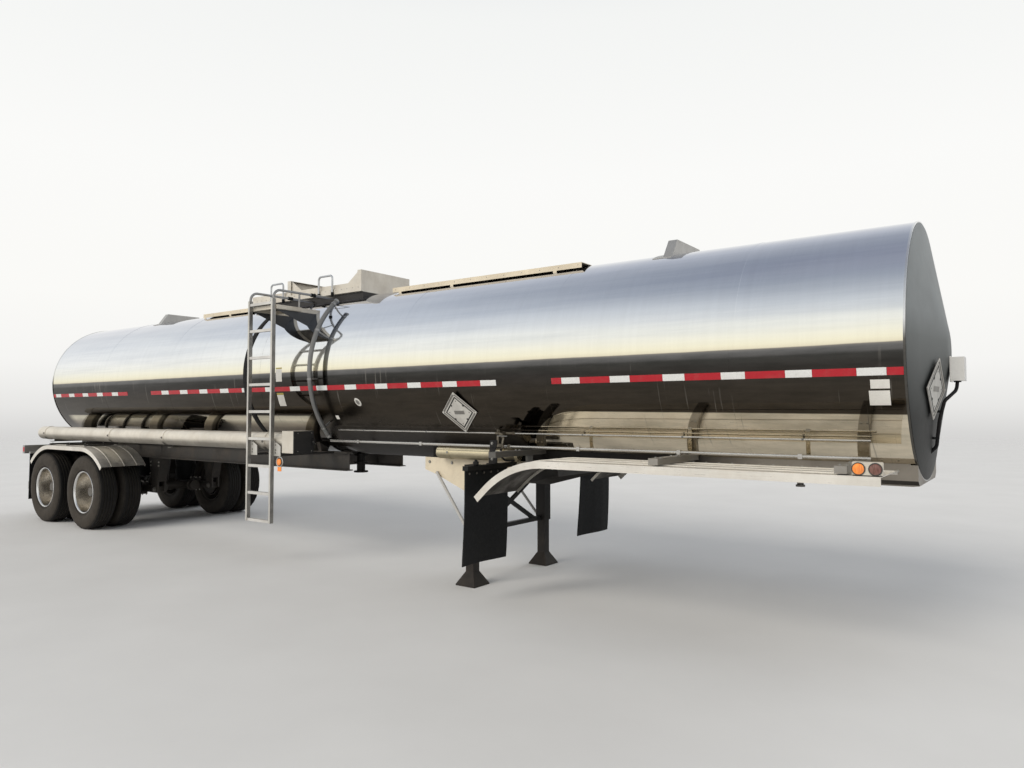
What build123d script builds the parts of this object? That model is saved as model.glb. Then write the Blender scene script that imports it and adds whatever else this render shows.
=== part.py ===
from build123d import *
import math
import os

os.makedirs("parts", exist_ok=True)

# Frame: +X towards the towing vehicle, +Y the trailer's left, +Z up, millimetres.
# The origin is on the ground under the middle of the whole trailer.

# Overall: half the width over the tyres and fenders, the gap between seated pieces,
# and the gap that a moving piece keeps
half_width = 1295
seat = 0.3
run_gap = 6

# Tank: an insulated round tank in a polished jacket
tank_r = 945
tank_low_z = 1158
tank_rear = -6080
tank_len = 12230
rim_band_w = 45
rim_band_t = 6
head_depth = 158
head_flat_r = 120
ring_band_x = -906
ring_band_w = 83
ring_band_t = 6
tank_z = tank_low_z + tank_r
tank_top_z = tank_z + tank_r
tank_front = tank_rear + tank_len

# Spill box on the tank's top, with its side rails and overturn guards
box_front = 530
box_len = 2100
box_half_w = 395
rail_lift = 2
fascia_h = 63
strip_h = 52
strip_set_back = 18
rail_w = 55
dam_set_in = 30
dam_t = 8
guard_lift = 250
guard_t = 65
guard_sheet = 6
gusset_len = 180
rear_guard_gap = 1280
box_rear = box_front - box_len
rail_low_z = tank_top_z + rail_lift
fascia_top_z = rail_low_z + fascia_h
rail_top_z = fascia_top_z + strip_h
guard_top_z = tank_top_z + guard_lift
dam_out = box_half_w - dam_set_in

# Grab hoops on the right side rail
hoop_x = (-200, -1130)
hoop_len = 245
hoop_r = 12
hoop_drop = 20
hoop_rise = 115
hoop_bend = 40

# Walkway strips along both shoulders: start, length, and where the tabs stand
walk_in_y = 215
walk_out_y = 400
walk_sheet = 5
walk_skirt = 50
walk_tab_w = 40
walk_front_gap = 514
walk_strips = (
    (box_front + walk_front_gap, 2416, (91, 836, 2106)),
    (box_rear - seat - 1110, 1110, (20, 621)),
)

# Manhole, pressure vent and filling cap
manhole_x = -200
manhole_r = 254
manhole_wall = 8
manhole_rise = 52
lid_r = 272
lid_t = 22
lid_dome = 45
lid_crown = 35
lid_shoulder = 40
hinge_w = 40
hinge_pin_r = 8
hinge_reach = 36
ear_t = 12
ear_half = 12
hinge_arm_half = 18
vent_x = 150
vent_r = 55
vent_h = 110
cap_x = -560
cap_r = 55
cap_h = 70
manhole_top_z = tank_top_z + manhole_rise
lid_axis_y = manhole_r + hinge_reach
lid_axis_z = manhole_top_z + 16

# Overturn guards near both ends of the tank
end_guard_x = (tank_front - 1905, tank_rear + 2120)
end_guard_t = 82
end_guard_top_half = 250
end_guard_base_half = 370
end_guard_h = 94
end_pad_len = 170
end_pad_t = 6
end_pad_half = 390

# Hose tube along the right side, with an end box and a door
hose_set_in = 195
hose_z = 1336
hose_r = 98
hose_wall = 4
hose_rear = tank_rear + 100
hose_front = 215
hose_box_len = 225
hose_box_half = 118
hose_clamp_x = (-5706, -3670, -2259, -150)
hose_clamp_w = 50
hose_clamp_t = 5
hose_arm_w = 70
hose_arm_t = 8
hose_web = 49
door_t = 8
knuckle_r = 9
knuckle_half = 15
knuckle_pitch = 70
door_knuckle_r = 6
door_pin_r = 3
leaf_lug_half = 2
pin_fit = 0.08
hose_y = hose_set_in - half_width
door_front_x = hose_front + hose_box_len
door_axis_x = door_front_x - 12
door_axis_y = hose_y - hose_box_half - 7

# Ladder on the right side: foot height, treads and the plates that stand it off
ladder_x = -148
ladder_w = 416
ladder_set_in = 60
ladder_rail_w = 45
ladder_rail_t = 27
ladder_foot_z = 455
ladder_head = 46
tread_h = 30
tread_d = 35
tread_pitch = 298
tread_count = 9
gusset_t = 5
gusset_reach = 118
gusset_top_z = 1352
gusset_step = 65
gusset_low_z = 1182
ladder_y = ladder_set_in - half_width
first_tread_z = ladder_foot_z + tread_h / 2
ladder_top_z = first_tread_z + (tread_count - 1) * tread_pitch + ladder_head
ladder_in_y = ladder_y + ladder_rail_w / 2

# Step platform between the ladder's top and the jacket, and the handrails over it
platform_over = 30
platform_reach = 332
platform_drop = 213
platform_h = 45
platform_sheet = 6
bracket_drop = 195
bracket_root = 76
bracket_t = 8
handrail_r = 14
handrail_drop = 48
handrail_bend = 90
handrail_grip_y = -700
handrail_grip_r = 20
handrail_grip_len = 60
post_r = 11
platform_z = (tank_top_z - platform_drop - platform_h, tank_top_z - platform_drop)
platform_x = (ladder_x - ladder_w / 2 - platform_over, ladder_x + ladder_w / 2 + platform_over)
platform_y = (ladder_in_y + seat, ladder_in_y + platform_reach)
handrail_z = tank_top_z - handrail_drop

# Air line and overflow pipe
line_off = 226
line_z = 1345
line_r = 13
line_x = (500, tank_front - 240)
line_clips = 6
line_clip_w = 30
line_clip_t = 8
line_clip_wall = 5
overflow_x = 450
overflow_r = 30
overflow_off = 105
overflow_from = -43
overflow_to = 50
overflow_posts = (-36, -5, 25, 46)
overflow_post_r = 12
overflow_post_in = 20
overflow_orbit = tank_r + overflow_off

# Upper coupler with its plate and kingpin
coupler_len = 4400
coupler_half_w = 500
coupler_plate_half_w = 440
coupler_low_z = 1142
coupler_side_z = 1185
coupler_top_z = 1315
coupler_plate_t = 10
coupler_plate_len = 1850
coupler_nose = 40
kingpin_back = 900
kingpin_r = 25.4
kingpin_neck_r = 36.5
kingpin_neck_len = 30
kingpin_head_r = 35.7
kingpin_head_len = 14
kingpin_len = 84
kingpin_taper = 5
coupler_front = tank_front
coupler_rear = coupler_front - coupler_len
frame_under_z = coupler_low_z + coupler_plate_t
kingpin_x = tank_front - kingpin_back

# Landing gear
leg_back = 3788
leg_y = 615
leg_w = 115
leg_inner_w = 92
leg_top_z = 1150
leg_split_z = 480
foot_half = 115
foot_t = 12
foot_flare_z = 130
landing_plate_t = 10
landing_plate_top = 1198
plate_low_z = 872
plate_flat = 10
plate_rear_edge = (152, 126, 170)
plate_front_edge = 113
landing_plate_rear = 4460
landing_plate_len = 1610
member_half = 40
member_h = 77
brace_z = 505
brace_half = 22
stay_r = 15
stay_reach = 170
stay_end_z = 1052
stay_up = 52
brace_side = 0.8
leg_x = tank_front - leg_back
plate_rear_x = tank_front - landing_plate_rear
plate_front_x = plate_rear_x + landing_plate_len
plate_y = leg_y - leg_w / 2 - seat
member_low_z = frame_under_z - member_h

# Air reservoir
reservoir_len = 985
reservoir_rear = 4200
reservoir_y = -640
reservoir_r = 66
reservoir_round = 25
strap_w = 40
strap_t = 12
strap_band = 3
reservoir_z = landing_plate_top + reservoir_r + seat

# Front fenders over the towing vehicle's wheels, with arms and mudflaps
fender_t = 5
fender_lip = 58
fender_in_lip = 28
fender_r = 900
bead_h = 7
bead_w = 18
bead_first = 146
bead_pitch = 177
bead_count = 3
ffender_top_z = 1266
ffender_front = tank_front - 100
ffender_rear = tank_front - 3225
ffender_tip = (350, 326)
fender_w = 619
fender_arm_back = (3050, 1590, 330)
fender_arm_w = 75
fender_arm_h = 48
fender_arm_short = 25
fender_arm_solid = 40
hanger_plate_t = 8
hanger_plate_gap = 2
flap_t = 9
flap_w = 606
flap_set_in = 18
flap_low_z = 325
flap_top_z = 1150
flap_x = ffender_rear - 110
flap_arm_w = 60
flap_arm_h = 40
fender_out_y = half_width
fender_in_y = half_width - fender_w
flap_out_y = half_width - flap_set_in
flap_in_y = flap_out_y - flap_w

# Lamp boxes on the front ends of the fenders
lamp_box_len = 172
lamp_box_h = 87
lamp_box_w = 48
lamp_box_back = 263
lamp_box_set_in = 12
side_lamp_r = 40
side_lamp_t = 10
side_lamp_pitch = 95

# Side markers low on both sides, on straps under the ladder's stand-off plate
marker_z = 1120
marker_r = 46
marker_t = 22
marker_strap_w = 30
marker_strap_t = 5
reflector_z = (1020, 1071)
reflector_w = 62
reflector_t = 8
marker_x = ladder_x + ladder_w / 2 + ladder_rail_t / 2 + gusset_reach - marker_strap_w / 2
marker_y = -ladder_in_y

# Wheels: two axles with twin wheels
axle_mid_x = tank_rear + 1245
axle_spread = 1245
tyre_r = 520
tyre_half_w = 138
tyre_out_gap = 1.5
twin_pitch = 343
tread_half_w = 108
tread_round = 12
shoulder_over = 8
shoulder_r = 497
belly_r = 400
rim_r = 286
rim_flange_r = 298
rim_half_w = 105
rim_flange_w = 12
rim_t = 9
disc_r = 240
disc_t = 22
hub_r = 120
hub_in = 40
hub_bore_r = 75
disc_round = 8
rim_well = 20
hub_out = 150
hub_cap_r = 78
hub_cap_len = 45
hand_hole_r = 30
hand_hole_circle_r = 205
hand_holes = 10
drum_r = 212
drum_wall = 14
drum_reach = 279
drum_face_t = 30
spindle_r = 45
spindle_fit = 0.08
spindle_reach = 60
axle_r = 63.5
axle_reach = 324
backing_r = 185
backing_t = 12
backing_in = 20
chamber_lug = 12
chamber_r = 78
chamber_len = 150
chamber_gap = 70
chamber_y = 255
twin_mid_y = half_width - tyre_out_gap - tyre_half_w - twin_pitch / 2
drum_in_y = twin_mid_y - drum_reach
axle_track_in = twin_mid_y - axle_reach
axle_xs = (axle_mid_x + axle_spread / 2, axle_mid_x - axle_spread / 2)
axle_names = ("front", "rear")
sides = (("right", -1), ("left", 1))

# Rear frame and suspension
rail_y = 430
frame_flange_w = 100
frame_web_t = 10
frame_flange_t = 12
frame_low_z = 985
frame_top_z = 1200
frame_rear = tank_rear - 100
frame_front = 400
saddle_w = 60
saddle_half = 80
saddle_x = (tank_rear + 80, axle_mid_x, -3500, -2400, -1300, -60)
member_up = 30
member_down = 60
hanger_lead = 480
hanger_w = 130
hanger_len = 170
hanger_low_z = 490
hanger_slot = 120
arm_w = 80
arm_h = 90
arm_tail = 420
arm_nose = 40
axle_clamp_half = 90
pivot_r = 22
pivot_over = 12
slot_gap = 2
air_spring_r = 130
air_spring_waist = 12
air_spring_back = 340

# Rear fenders with arms and mudflaps
rfender_top_z = 1159
rfender_rear = tank_rear + 140
rfender_len = 2300
rfender_tip = (280, 261)
rfender_arm_spread = 560
rfender_arm_w = 50
rfender_arm_short = 60
rfender_arm_h = 20
rflap_back = 68
rflap_low_z = 300
rflap_top_z = 1010
rflap_x = rfender_rear - rflap_back

# Rear end
tail_x = tank_rear - 296
tail_half = 1240
tail_beam_z = (1000, 1130)
tail_beam_len = 70
guard_bar_z = (430, 550)
guard_bar_t = 70
guard_bar_half = 1150
guard_post_y = 420
guard_post_w = 60
flap_bar_w = 40
flap_bar_h = 30
flap_link_y = 984
flap_link_w = 40
flap_link_in = 2
lamp_r = 52
lamp_t = 24
lamp_y = (620, 780, 940)

# Sign holders, plug box and bottom outlet
placard_side = 273
placard_t = 8
placard_x = tank_front - 3764
placard_angle = 28
placard_stand = 14
stud_r = 10
stud_share = 0.7
end_placard_y = -400
end_placard_z = tank_z - 288
plug_box_z = tank_z - 138
plug_box_w = 150
plug_box_h = 170
plug_box_d = 92
outlet_x = 120
outlet_r = 50
outlet_flange_r = 85
outlet_flange_t = 18
outlet_valve_h = 110
outlet_low_z = 930
outlet_flange_drop = 25
outlet_bolt_pcd = 149.2
outlet_bolt_r = 6
outlet_bolts = 8


def block(x, y, z, mode=Mode.ADD):
    """A box between two x, two y and two z values."""
    with Locations(((x[0] + x[1]) / 2, (y[0] + y[1]) / 2, (z[0] + z[1]) / 2)):
        Box(abs(x[1] - x[0]), abs(y[1] - y[0]), abs(z[1] - z[0]), mode=mode)


def rod(start, end, radius, mode=Mode.ADD):
    """A round bar between two points."""
    along = Vector(*end) - Vector(*start)
    with BuildSketch(Plane(origin=start, z_dir=along)) as section:
        Circle(radius)
    extrude(section.sketch, amount=along.length, mode=mode)


def pipe(points, radius, bend):
    """A round pipe along straight runs joined by bends of one radius."""
    with BuildLine() as route:
        FilletPolyline(*points, radius=bend)
    with BuildSketch(Plane(origin=route.line @ 0, z_dir=route.line % 0)) as section:
        Circle(radius)
    sweep(section.sketch, path=route.line)


def bar(start, end, width, height):
    """A flat bar between two points, its width across and its height upright."""
    along = Vector(*end) - Vector(*start)
    across = Vector(0, 0, 1).cross(along)
    with BuildSketch(Plane(origin=start, x_dir=across, z_dir=along)) as section:
        Rectangle(width, height)
    extrude(section.sketch, amount=along.length)


def outline_across(x, length, points):
    """A prism along X from points given as (y, z)."""
    with BuildSketch(Plane.YZ.offset(x)) as section:
        Polygon(*points, align=None)
    extrude(section.sketch, amount=length)


def outline_along(y, width, points):
    """A prism from one y value to y + width, from points given as (x, z)."""
    with BuildSketch(Plane.XZ.offset(-y)) as section:
        Polygon(*points, align=None)
    extrude(section.sketch, amount=-width)


def tank_hollow():
    """Take away the room that the jacket and its raised bands need."""
    for start_x, length, radius in (
        (tank_rear, tank_len, tank_r),
        (tank_rear, rim_band_w, tank_r + rim_band_t),
        (tank_front - rim_band_w, rim_band_w, tank_r + rim_band_t),
        (ring_band_x, ring_band_w, tank_r + ring_band_t),
    ):
        with BuildSketch(Plane.YZ.offset(start_x - seat)) as section:
            with Locations((0, tank_z)):
                Circle(radius + seat)
        extrude(section.sketch, amount=length + 2 * seat, mode=Mode.SUBTRACT)


def head_profile(head_x, way, gap):
    """Half section of a head, its outline moved out by a gap."""
    return (
        (head_x - way * gap, tank_z),
        (head_x - way * gap, tank_z + tank_r - rim_band_t + gap),
        (head_x + way * (rim_band_t + gap), tank_z + tank_r - rim_band_t + gap),
        (head_x + way * (head_depth + gap), tank_z + head_flat_r + gap),
        (head_x + way * (head_depth + gap), tank_z),
    )


def on_jacket(y):
    """Height of the jacket's upper side at a distance from the middle."""
    return tank_z + math.sqrt(tank_r**2 - y**2)


def under_jacket(y):
    """Height of the jacket's under side at a distance from the middle."""
    return tank_z - math.sqrt(tank_r**2 - y**2)


def beside_jacket(z):
    """Distance of the jacket from the middle at a height."""
    return math.sqrt(tank_r**2 - (z - tank_z) ** 2)


def fender_height(x):
    """Height of the front fender's top where it bends down, at an x value."""
    bend_x = ffender_rear + ffender_tip[0] + fender_r * math.tan(math.atan2(ffender_tip[1], ffender_tip[0]) / 2)
    return ffender_top_z - fender_r + math.sqrt(fender_r**2 - (bend_x - x) ** 2)


def ribbed_fender(points, side):
    """A bent fender sheet with turned-down edges and raised beads along it."""
    strips = [
        (fender_t, fender_in_y, fender_out_y, Side.LEFT),
        (fender_lip, fender_out_y - fender_t, fender_out_y, Side.LEFT),
        (fender_in_lip, fender_in_y, fender_in_y + fender_t, Side.LEFT),
    ]
    for bead in range(bead_count):
        bead_y = fender_out_y - bead_first - bead * bead_pitch
        strips.append((bead_h, bead_y - bead_w / 2, bead_y + bead_w / 2, Side.RIGHT))
    for depth, y_in, y_out, way in strips:
        with BuildSketch(Plane.XZ.offset(-side * y_in)) as section:
            with BuildLine():
                top_line = FilletPolyline(*points, radius=fender_r)
                offset(top_line, amount=depth, side=way, closed=True)
            make_face()
        extrude(section.sketch, amount=-side * (y_out - y_in))


# Tank barrel with the bright bands round both ends
with BuildPart() as tank_barrel:
    with BuildSketch(Plane.YZ.offset(tank_rear)):
        with Locations((0, tank_z)):
            Circle(tank_r)
    extrude(amount=tank_len)
    for band_x in (tank_rear, tank_front - rim_band_w):
        with BuildSketch(Plane.YZ.offset(band_x)):
            with Locations((0, tank_z)):
                Circle(tank_r + rim_band_t)
        extrude(amount=rim_band_w)

# Heads: shallow cones with a small flat in the middle
heads = {}
for head_name, head_x, way in (("front_head", tank_front, 1), ("rear_head", tank_rear, -1)):
    with BuildPart() as head:
        with BuildSketch(Plane.XZ):
            Polygon(*head_profile(head_x, way, 0), align=None)
        revolve(axis=Axis((0, 0, tank_z), (1, 0, 0)))
    heads[head_name] = head

# Dark sealing band round the jacket
with BuildPart() as ring_band:
    with BuildSketch(Plane.YZ.offset(ring_band_x)):
        with Locations((0, tank_z)):
            Circle(tank_r + ring_band_t)
            Circle(tank_r + seat, mode=Mode.SUBTRACT)
    extrude(amount=ring_band_w)

# Spill box round the manhole: side rails, set-in walls and two overturn guards
with BuildPart() as spill_box:
    for side in (-1, 1):
        outline_across(box_rear, box_len, (
            (side * box_half_w, rail_low_z),
            (side * box_half_w, fascia_top_z),
            (side * (box_half_w - strip_set_back), fascia_top_z),
            (side * (box_half_w - strip_set_back), rail_top_z),
            (side * (box_half_w - rail_w), rail_top_z),
            (side * (box_half_w - rail_w), rail_low_z),
        ))
        block((box_rear, box_front), (side * dam_out, side * (dam_out - dam_t)),
              (on_jacket(box_half_w) - dam_set_in, rail_low_z))
    for end_x, end_way in ((box_rear, 1), (box_front, -1)):
        block((end_x, end_x + end_way * dam_t), (-dam_out, dam_out), (on_jacket(box_half_w) - dam_set_in, rail_top_z))
    for guard_x, gusset_way in ((box_front, -1), (box_front - rear_guard_gap, 1)):
        guard_back = guard_x - guard_t
        block((guard_back, guard_x), (-box_half_w, box_half_w), (rail_low_z, guard_top_z))
        pocket_x = (guard_back, guard_x - guard_sheet) if gusset_way < 0 else (guard_back + guard_sheet, guard_x)
        for pocket_half, pocket_z in (
            (box_half_w - rail_w, (rail_low_z + guard_sheet, rail_top_z)),
            (box_half_w, (rail_top_z, guard_top_z)),
        ):
            block(pocket_x, (guard_sheet - pocket_half, pocket_half - guard_sheet),
                  (pocket_z[0], pocket_z[1] - guard_sheet), mode=Mode.SUBTRACT)
        sheet_x = guard_x - guard_sheet if gusset_way < 0 else guard_back + guard_sheet
        open_x = guard_back if gusset_way < 0 else guard_x
        for side in (-1, 1):
            gusset_y = side * (box_half_w - strip_set_back)
            outline_along(gusset_y, -side * dam_t, (
                (sheet_x, rail_top_z),
                (sheet_x, guard_top_z - guard_sheet),
                (open_x, guard_top_z - guard_sheet),
                (open_x + gusset_way * gusset_len, rail_top_z),
            ))
    tank_hollow()

# Grab hoops on the right side rail beside the ladder
with BuildPart() as grab_hoops:
    hoop_y = -box_half_w - seat - hoop_r
    hoop_z = (rail_low_z - hoop_drop, rail_top_z + hoop_rise)
    for at_x in hoop_x:
        pipe(
            (
                (at_x, hoop_y, hoop_z[0]),
                (at_x, hoop_y, hoop_z[1]),
                (at_x + hoop_len, hoop_y, hoop_z[1]),
                (at_x + hoop_len, hoop_y, hoop_z[0]),
            ),
            hoop_r,
            hoop_bend,
        )

# Walkway strips on both shoulders, with tabs down to the jacket
with BuildPart() as walkways:
    walk_z = on_jacket(walk_in_y) - 1
    for strip_x, strip_len, tabs in walk_strips:
        for side in (-1, 1):
            block((strip_x, strip_x + strip_len), (side * walk_in_y, side * walk_out_y), (walk_z, walk_z + walk_sheet))
            block((strip_x, strip_x + strip_len), (side * (walk_out_y - walk_sheet), side * walk_out_y),
                  (walk_z + walk_sheet - walk_skirt, walk_z + walk_sheet))
            for tab in tabs:
                block((strip_x + tab, strip_x + tab + walk_tab_w),
                      (side * (walk_out_y - walk_sheet), side * walk_out_y),
                      (tank_z, walk_z))
    tank_hollow()

# Overturn guards near both ends of the tank: trapezoid plates on jacket pads
with BuildPart() as rollover_guards:
    for guard_x in end_guard_x:
        outline_across(guard_x, end_guard_t, (
            (-end_guard_base_half, on_jacket(end_guard_base_half)),
            (-end_guard_top_half, tank_top_z + end_guard_h),
            (end_guard_top_half, tank_top_z + end_guard_h),
            (end_guard_base_half, on_jacket(end_guard_base_half)),
        ))
        with BuildSketch(Plane.YZ.offset(guard_x - (end_pad_len - end_guard_t))):
            with Locations((0, tank_z)):
                Circle(tank_r + end_pad_t)
            with Locations((0, tank_top_z)):
                Rectangle(2 * end_pad_half, tank_r, mode=Mode.INTERSECT)
        extrude(amount=end_pad_len)
    tank_hollow()

# Manhole collar with the hinge's two ears and pin
with BuildPart() as manhole_collar:
    with BuildSketch(Plane.XY.offset(on_jacket(manhole_r) - tank_r / 4)):
        with Locations((manhole_x, 0)):
            Circle(manhole_r)
            Circle(manhole_r - manhole_wall, mode=Mode.SUBTRACT)
    extrude(amount=manhole_top_z - on_jacket(manhole_r) + tank_r / 4)
    for ear in (-1, 1):
        ear_x = (manhole_x + ear * hinge_w, manhole_x + ear * (hinge_w + ear_t))
        block(ear_x, (manhole_r - manhole_wall, lid_axis_y + ear_half), (tank_top_z, manhole_top_z - run_gap))
        block(ear_x, (lid_axis_y - ear_half, lid_axis_y + ear_half), (manhole_top_z - run_gap, lid_axis_z + ear_half))
    rod((manhole_x - hinge_w - ear_t, lid_axis_y, lid_axis_z),
        (manhole_x + hinge_w + ear_t, lid_axis_y, lid_axis_z), hinge_pin_r)
    tank_hollow()

# Manhole lid: a domed cover, hinged on the left
with BuildPart() as manhole_lid:
    lid_low_z = manhole_top_z + seat
    lid_edge_z = lid_low_z + lid_t
    with BuildSketch(Plane.XZ):
        with BuildLine():
            Polyline(
                (0, lid_edge_z + lid_dome),
                (0, lid_low_z),
                (lid_r, lid_low_z),
                (lid_r, lid_edge_z),
                (lid_r - lid_shoulder, lid_edge_z),
            )
            ThreePointArc(
                (lid_r - lid_shoulder, lid_edge_z),
                (lid_r / 2, lid_edge_z + lid_crown),
                (0, lid_edge_z + lid_dome),
            )
        make_face()
    revolve(axis=Axis.Z)
    block((run_gap - hinge_w, hinge_w - run_gap), (lid_r - lid_shoulder, lid_axis_y + hinge_arm_half),
          (lid_low_z + 1, lid_axis_z + hinge_arm_half))
    with Locations((0, lid_axis_y, lid_axis_z)):
        Cylinder(hinge_pin_r + pin_fit, 2 * hinge_w, rotation=(0, 90, 0), mode=Mode.SUBTRACT)
manhole_lid.part = manhole_lid.part.moved(Location((manhole_x, 0, 0)))

# Pressure vent and filling cap beside the manhole
with BuildPart() as top_valves:
    for valve_x, valve_r, valve_h in ((vent_x, vent_r, vent_h), (cap_x, cap_r, cap_h)):
        rod((valve_x, 0, tank_z + tank_r / 2), (valve_x, 0, tank_top_z + valve_h), valve_r)
    tank_hollow()

# Ladder: two flat rails, with the plates and arms that stand them off the frame
with BuildPart() as ladder:
    for side in (-1, 1):
        rail_x = ladder_x + side * ladder_w / 2
        rail_front = rail_x + ladder_rail_t / 2
        block((rail_x - ladder_rail_t / 2, rail_front),
              (ladder_y - ladder_rail_w / 2, ladder_in_y), (ladder_foot_z, ladder_top_z))
        outline_along(ladder_in_y - gusset_t, 2 * gusset_t, (
            (rail_x, gusset_low_z),
            (rail_x, gusset_top_z),
            (rail_front, gusset_top_z),
            (rail_front + gusset_reach, gusset_top_z - gusset_step),
            (rail_front + gusset_reach, gusset_low_z),
        ))
        block((rail_front, rail_front + gusset_reach), (ladder_in_y, -rail_y - frame_flange_w / 2 - seat),
              (gusset_low_z, frame_top_z))

# Ladder treads: flat bars between the rails
with BuildPart() as ladder_treads:
    for tread in range(tread_count):
        tread_z = first_tread_z + tread * tread_pitch
        tread_half = ladder_w / 2 - ladder_rail_t / 2 - seat
        block((ladder_x - tread_half, ladder_x + tread_half),
              (ladder_y - tread_d / 2, ladder_y + tread_d / 2), (tread_z - tread_h / 2, tread_z + tread_h / 2))

# Step platform: a folded tray on two brackets from the jacket
with BuildPart() as step_platform:
    block(platform_x, platform_y, platform_z)
    block((platform_x[0] + platform_sheet, platform_x[1] - platform_sheet),
          (platform_y[0] + platform_sheet, platform_y[1] - platform_sheet),
          (platform_z[0], platform_z[1] - platform_sheet), mode=Mode.SUBTRACT)
    bracket_low_z = platform_z[1] - bracket_drop
    for side in (-1, 1):
        rail_x = ladder_x + side * ladder_w / 2
        outline_across(rail_x - bracket_t / 2, bracket_t, (
            (platform_y[0], platform_z[1]),
            (platform_y[0], platform_z[0]),
            (-beside_jacket(bracket_low_z), bracket_low_z),
            (bracket_root - beside_jacket(platform_z[1]), bracket_low_z),
            (bracket_root - beside_jacket(platform_z[1]), platform_z[1]),
        ))
    tank_hollow()

# Handrails from the ladder's rails in to the spill box, with the post on the platform
with BuildPart() as handrails:
    for side in (-1, 1):
        rail_x = ladder_x + side * ladder_w / 2
        pipe(
            (
                (rail_x, ladder_y, ladder_top_z + seat),
                (rail_x, ladder_y, handrail_z),
                (rail_x, -dam_out - seat, handrail_z),
            ),
            handrail_r,
            handrail_bend,
        )
        rod((rail_x, handrail_grip_y - handrail_grip_len / 2, handrail_z),
            (rail_x, handrail_grip_y + handrail_grip_len / 2, handrail_z), handrail_grip_r)
    post_x = ladder_x + ladder_w / 2
    post_y = platform_y[1] - post_r
    rod((post_x, post_y, platform_z[1] + seat), (post_x, post_y, handrail_z - handrail_r - seat), post_r)

# Hose tube with its rounded rear end and the square end box at the front
with BuildPart() as hose_tube:
    cap_x0 = hose_rear + hose_r / 2
    rod((cap_x0, hose_y, hose_z), (hose_front, hose_y, hose_z), hose_r)
    with BuildSketch(Plane.XY.offset(hose_z)):
        with BuildLine():
            Line((cap_x0, hose_y), (hose_rear, hose_y))
            ThreePointArc((hose_rear, hose_y), (cap_x0 - hose_r * 0.36, hose_y + hose_r * 0.7),
                          (cap_x0, hose_y + hose_r))
            Line((cap_x0, hose_y + hose_r), (cap_x0, hose_y))
        make_face()
    revolve(axis=Axis((0, hose_y, hose_z), (1, 0, 0)))
    block((hose_front, door_front_x), (hose_y - hose_box_half, hose_y + hose_box_half),
          (hose_z - hose_box_half, hose_z + hose_box_half))
    rod((cap_x0, hose_y, hose_z), (hose_front + hose_wall, hose_y, hose_z), hose_r - hose_wall, mode=Mode.SUBTRACT)
    block((hose_front + hose_wall, door_front_x),
          (hose_y - hose_box_half + hose_wall, hose_y + hose_box_half - hose_wall),
          (hose_z - hose_box_half + hose_wall, hose_z + hose_box_half - hose_wall), mode=Mode.SUBTRACT)
    for knuckle_z in (-knuckle_pitch, 0, knuckle_pitch):
        rod((door_axis_x, door_axis_y, hose_z + knuckle_z - knuckle_half),
            (door_axis_x, door_axis_y, hose_z + knuckle_z + knuckle_half), knuckle_r)
    rod((door_axis_x, door_axis_y, hose_z - knuckle_pitch), (door_axis_x, door_axis_y, hose_z + knuckle_pitch),
        door_pin_r)

# Door of the hose tube, hinged on its outer upright edge
with BuildPart() as hose_tube_door:
    door_x = (door_front_x + seat, door_front_x + seat + door_t)
    leaf_y = (door_axis_y - knuckle_r - run_gap, door_axis_y - knuckle_r - seat)
    door_z = (hose_z - hose_box_half, hose_z + hose_box_half)
    block(door_x, (leaf_y[0], hose_y + hose_box_half), door_z)
    block((door_axis_x + run_gap, door_x[1]), leaf_y, door_z)
    for knuckle_z in (-knuckle_pitch / 2, knuckle_pitch / 2):
        knuckle_ends = (hose_z + knuckle_z - knuckle_half, hose_z + knuckle_z + knuckle_half)
        rod((door_axis_x, door_axis_y, knuckle_ends[0]), (door_axis_x, door_axis_y, knuckle_ends[1]),
            door_knuckle_r)
        block((door_axis_x, door_x[1]), (door_axis_y - leaf_lug_half, door_axis_y + leaf_lug_half), knuckle_ends)
    rod((door_axis_x, door_axis_y, door_z[0]), (door_axis_x, door_axis_y, door_z[1]),
        door_pin_r + pin_fit, mode=Mode.SUBTRACT)

# Clamps round the hose tube, and the arms that carry it from the frame
with BuildPart() as hose_brackets:
    for clamp_x in hose_clamp_x:
        rod((clamp_x - hose_clamp_w / 2, hose_y, hose_z), (clamp_x + hose_clamp_w / 2, hose_y, hose_z),
            hose_r + seat + hose_clamp_t)
        block((clamp_x - hose_arm_w / 2, clamp_x + hose_arm_w / 2),
              (hose_y, -rail_y + frame_flange_w / 2), (frame_top_z + seat, frame_top_z + seat + hose_arm_t))
        block((clamp_x - hose_arm_t / 2, clamp_x + hose_arm_t / 2),
              (hose_y + hose_web, -rail_y + frame_flange_w / 2), (frame_top_z + hose_arm_t, hose_z + hose_web))
    rod((hose_rear, hose_y, hose_z), (hose_front, hose_y, hose_z), hose_r + seat, mode=Mode.SUBTRACT)
    tank_hollow()

# Air line along the right side, with its clips on the jacket
with BuildPart() as air_line:
    line_y = -beside_jacket(line_z) - line_off
    line_run = line_x[1] - line_x[0]
    rod((line_x[0], line_y, line_z), (line_x[1], line_y, line_z), line_r)
    for clip in range(line_clips):
        clip_x = line_x[0] + line_run * (clip + 0.5) / line_clips
        block((clip_x - line_clip_w / 2, clip_x + line_clip_w / 2), (line_y, -beside_jacket(line_z) + line_clip_w),
              (line_z - line_clip_t / 2, line_z + line_clip_t / 2))
        clip_half = line_r + line_clip_wall
        block((clip_x - line_clip_w / 2, clip_x + line_clip_w / 2), (line_y - clip_half, line_y + clip_half),
              (line_z - clip_half, line_z + clip_half))
    tank_hollow()

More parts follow.
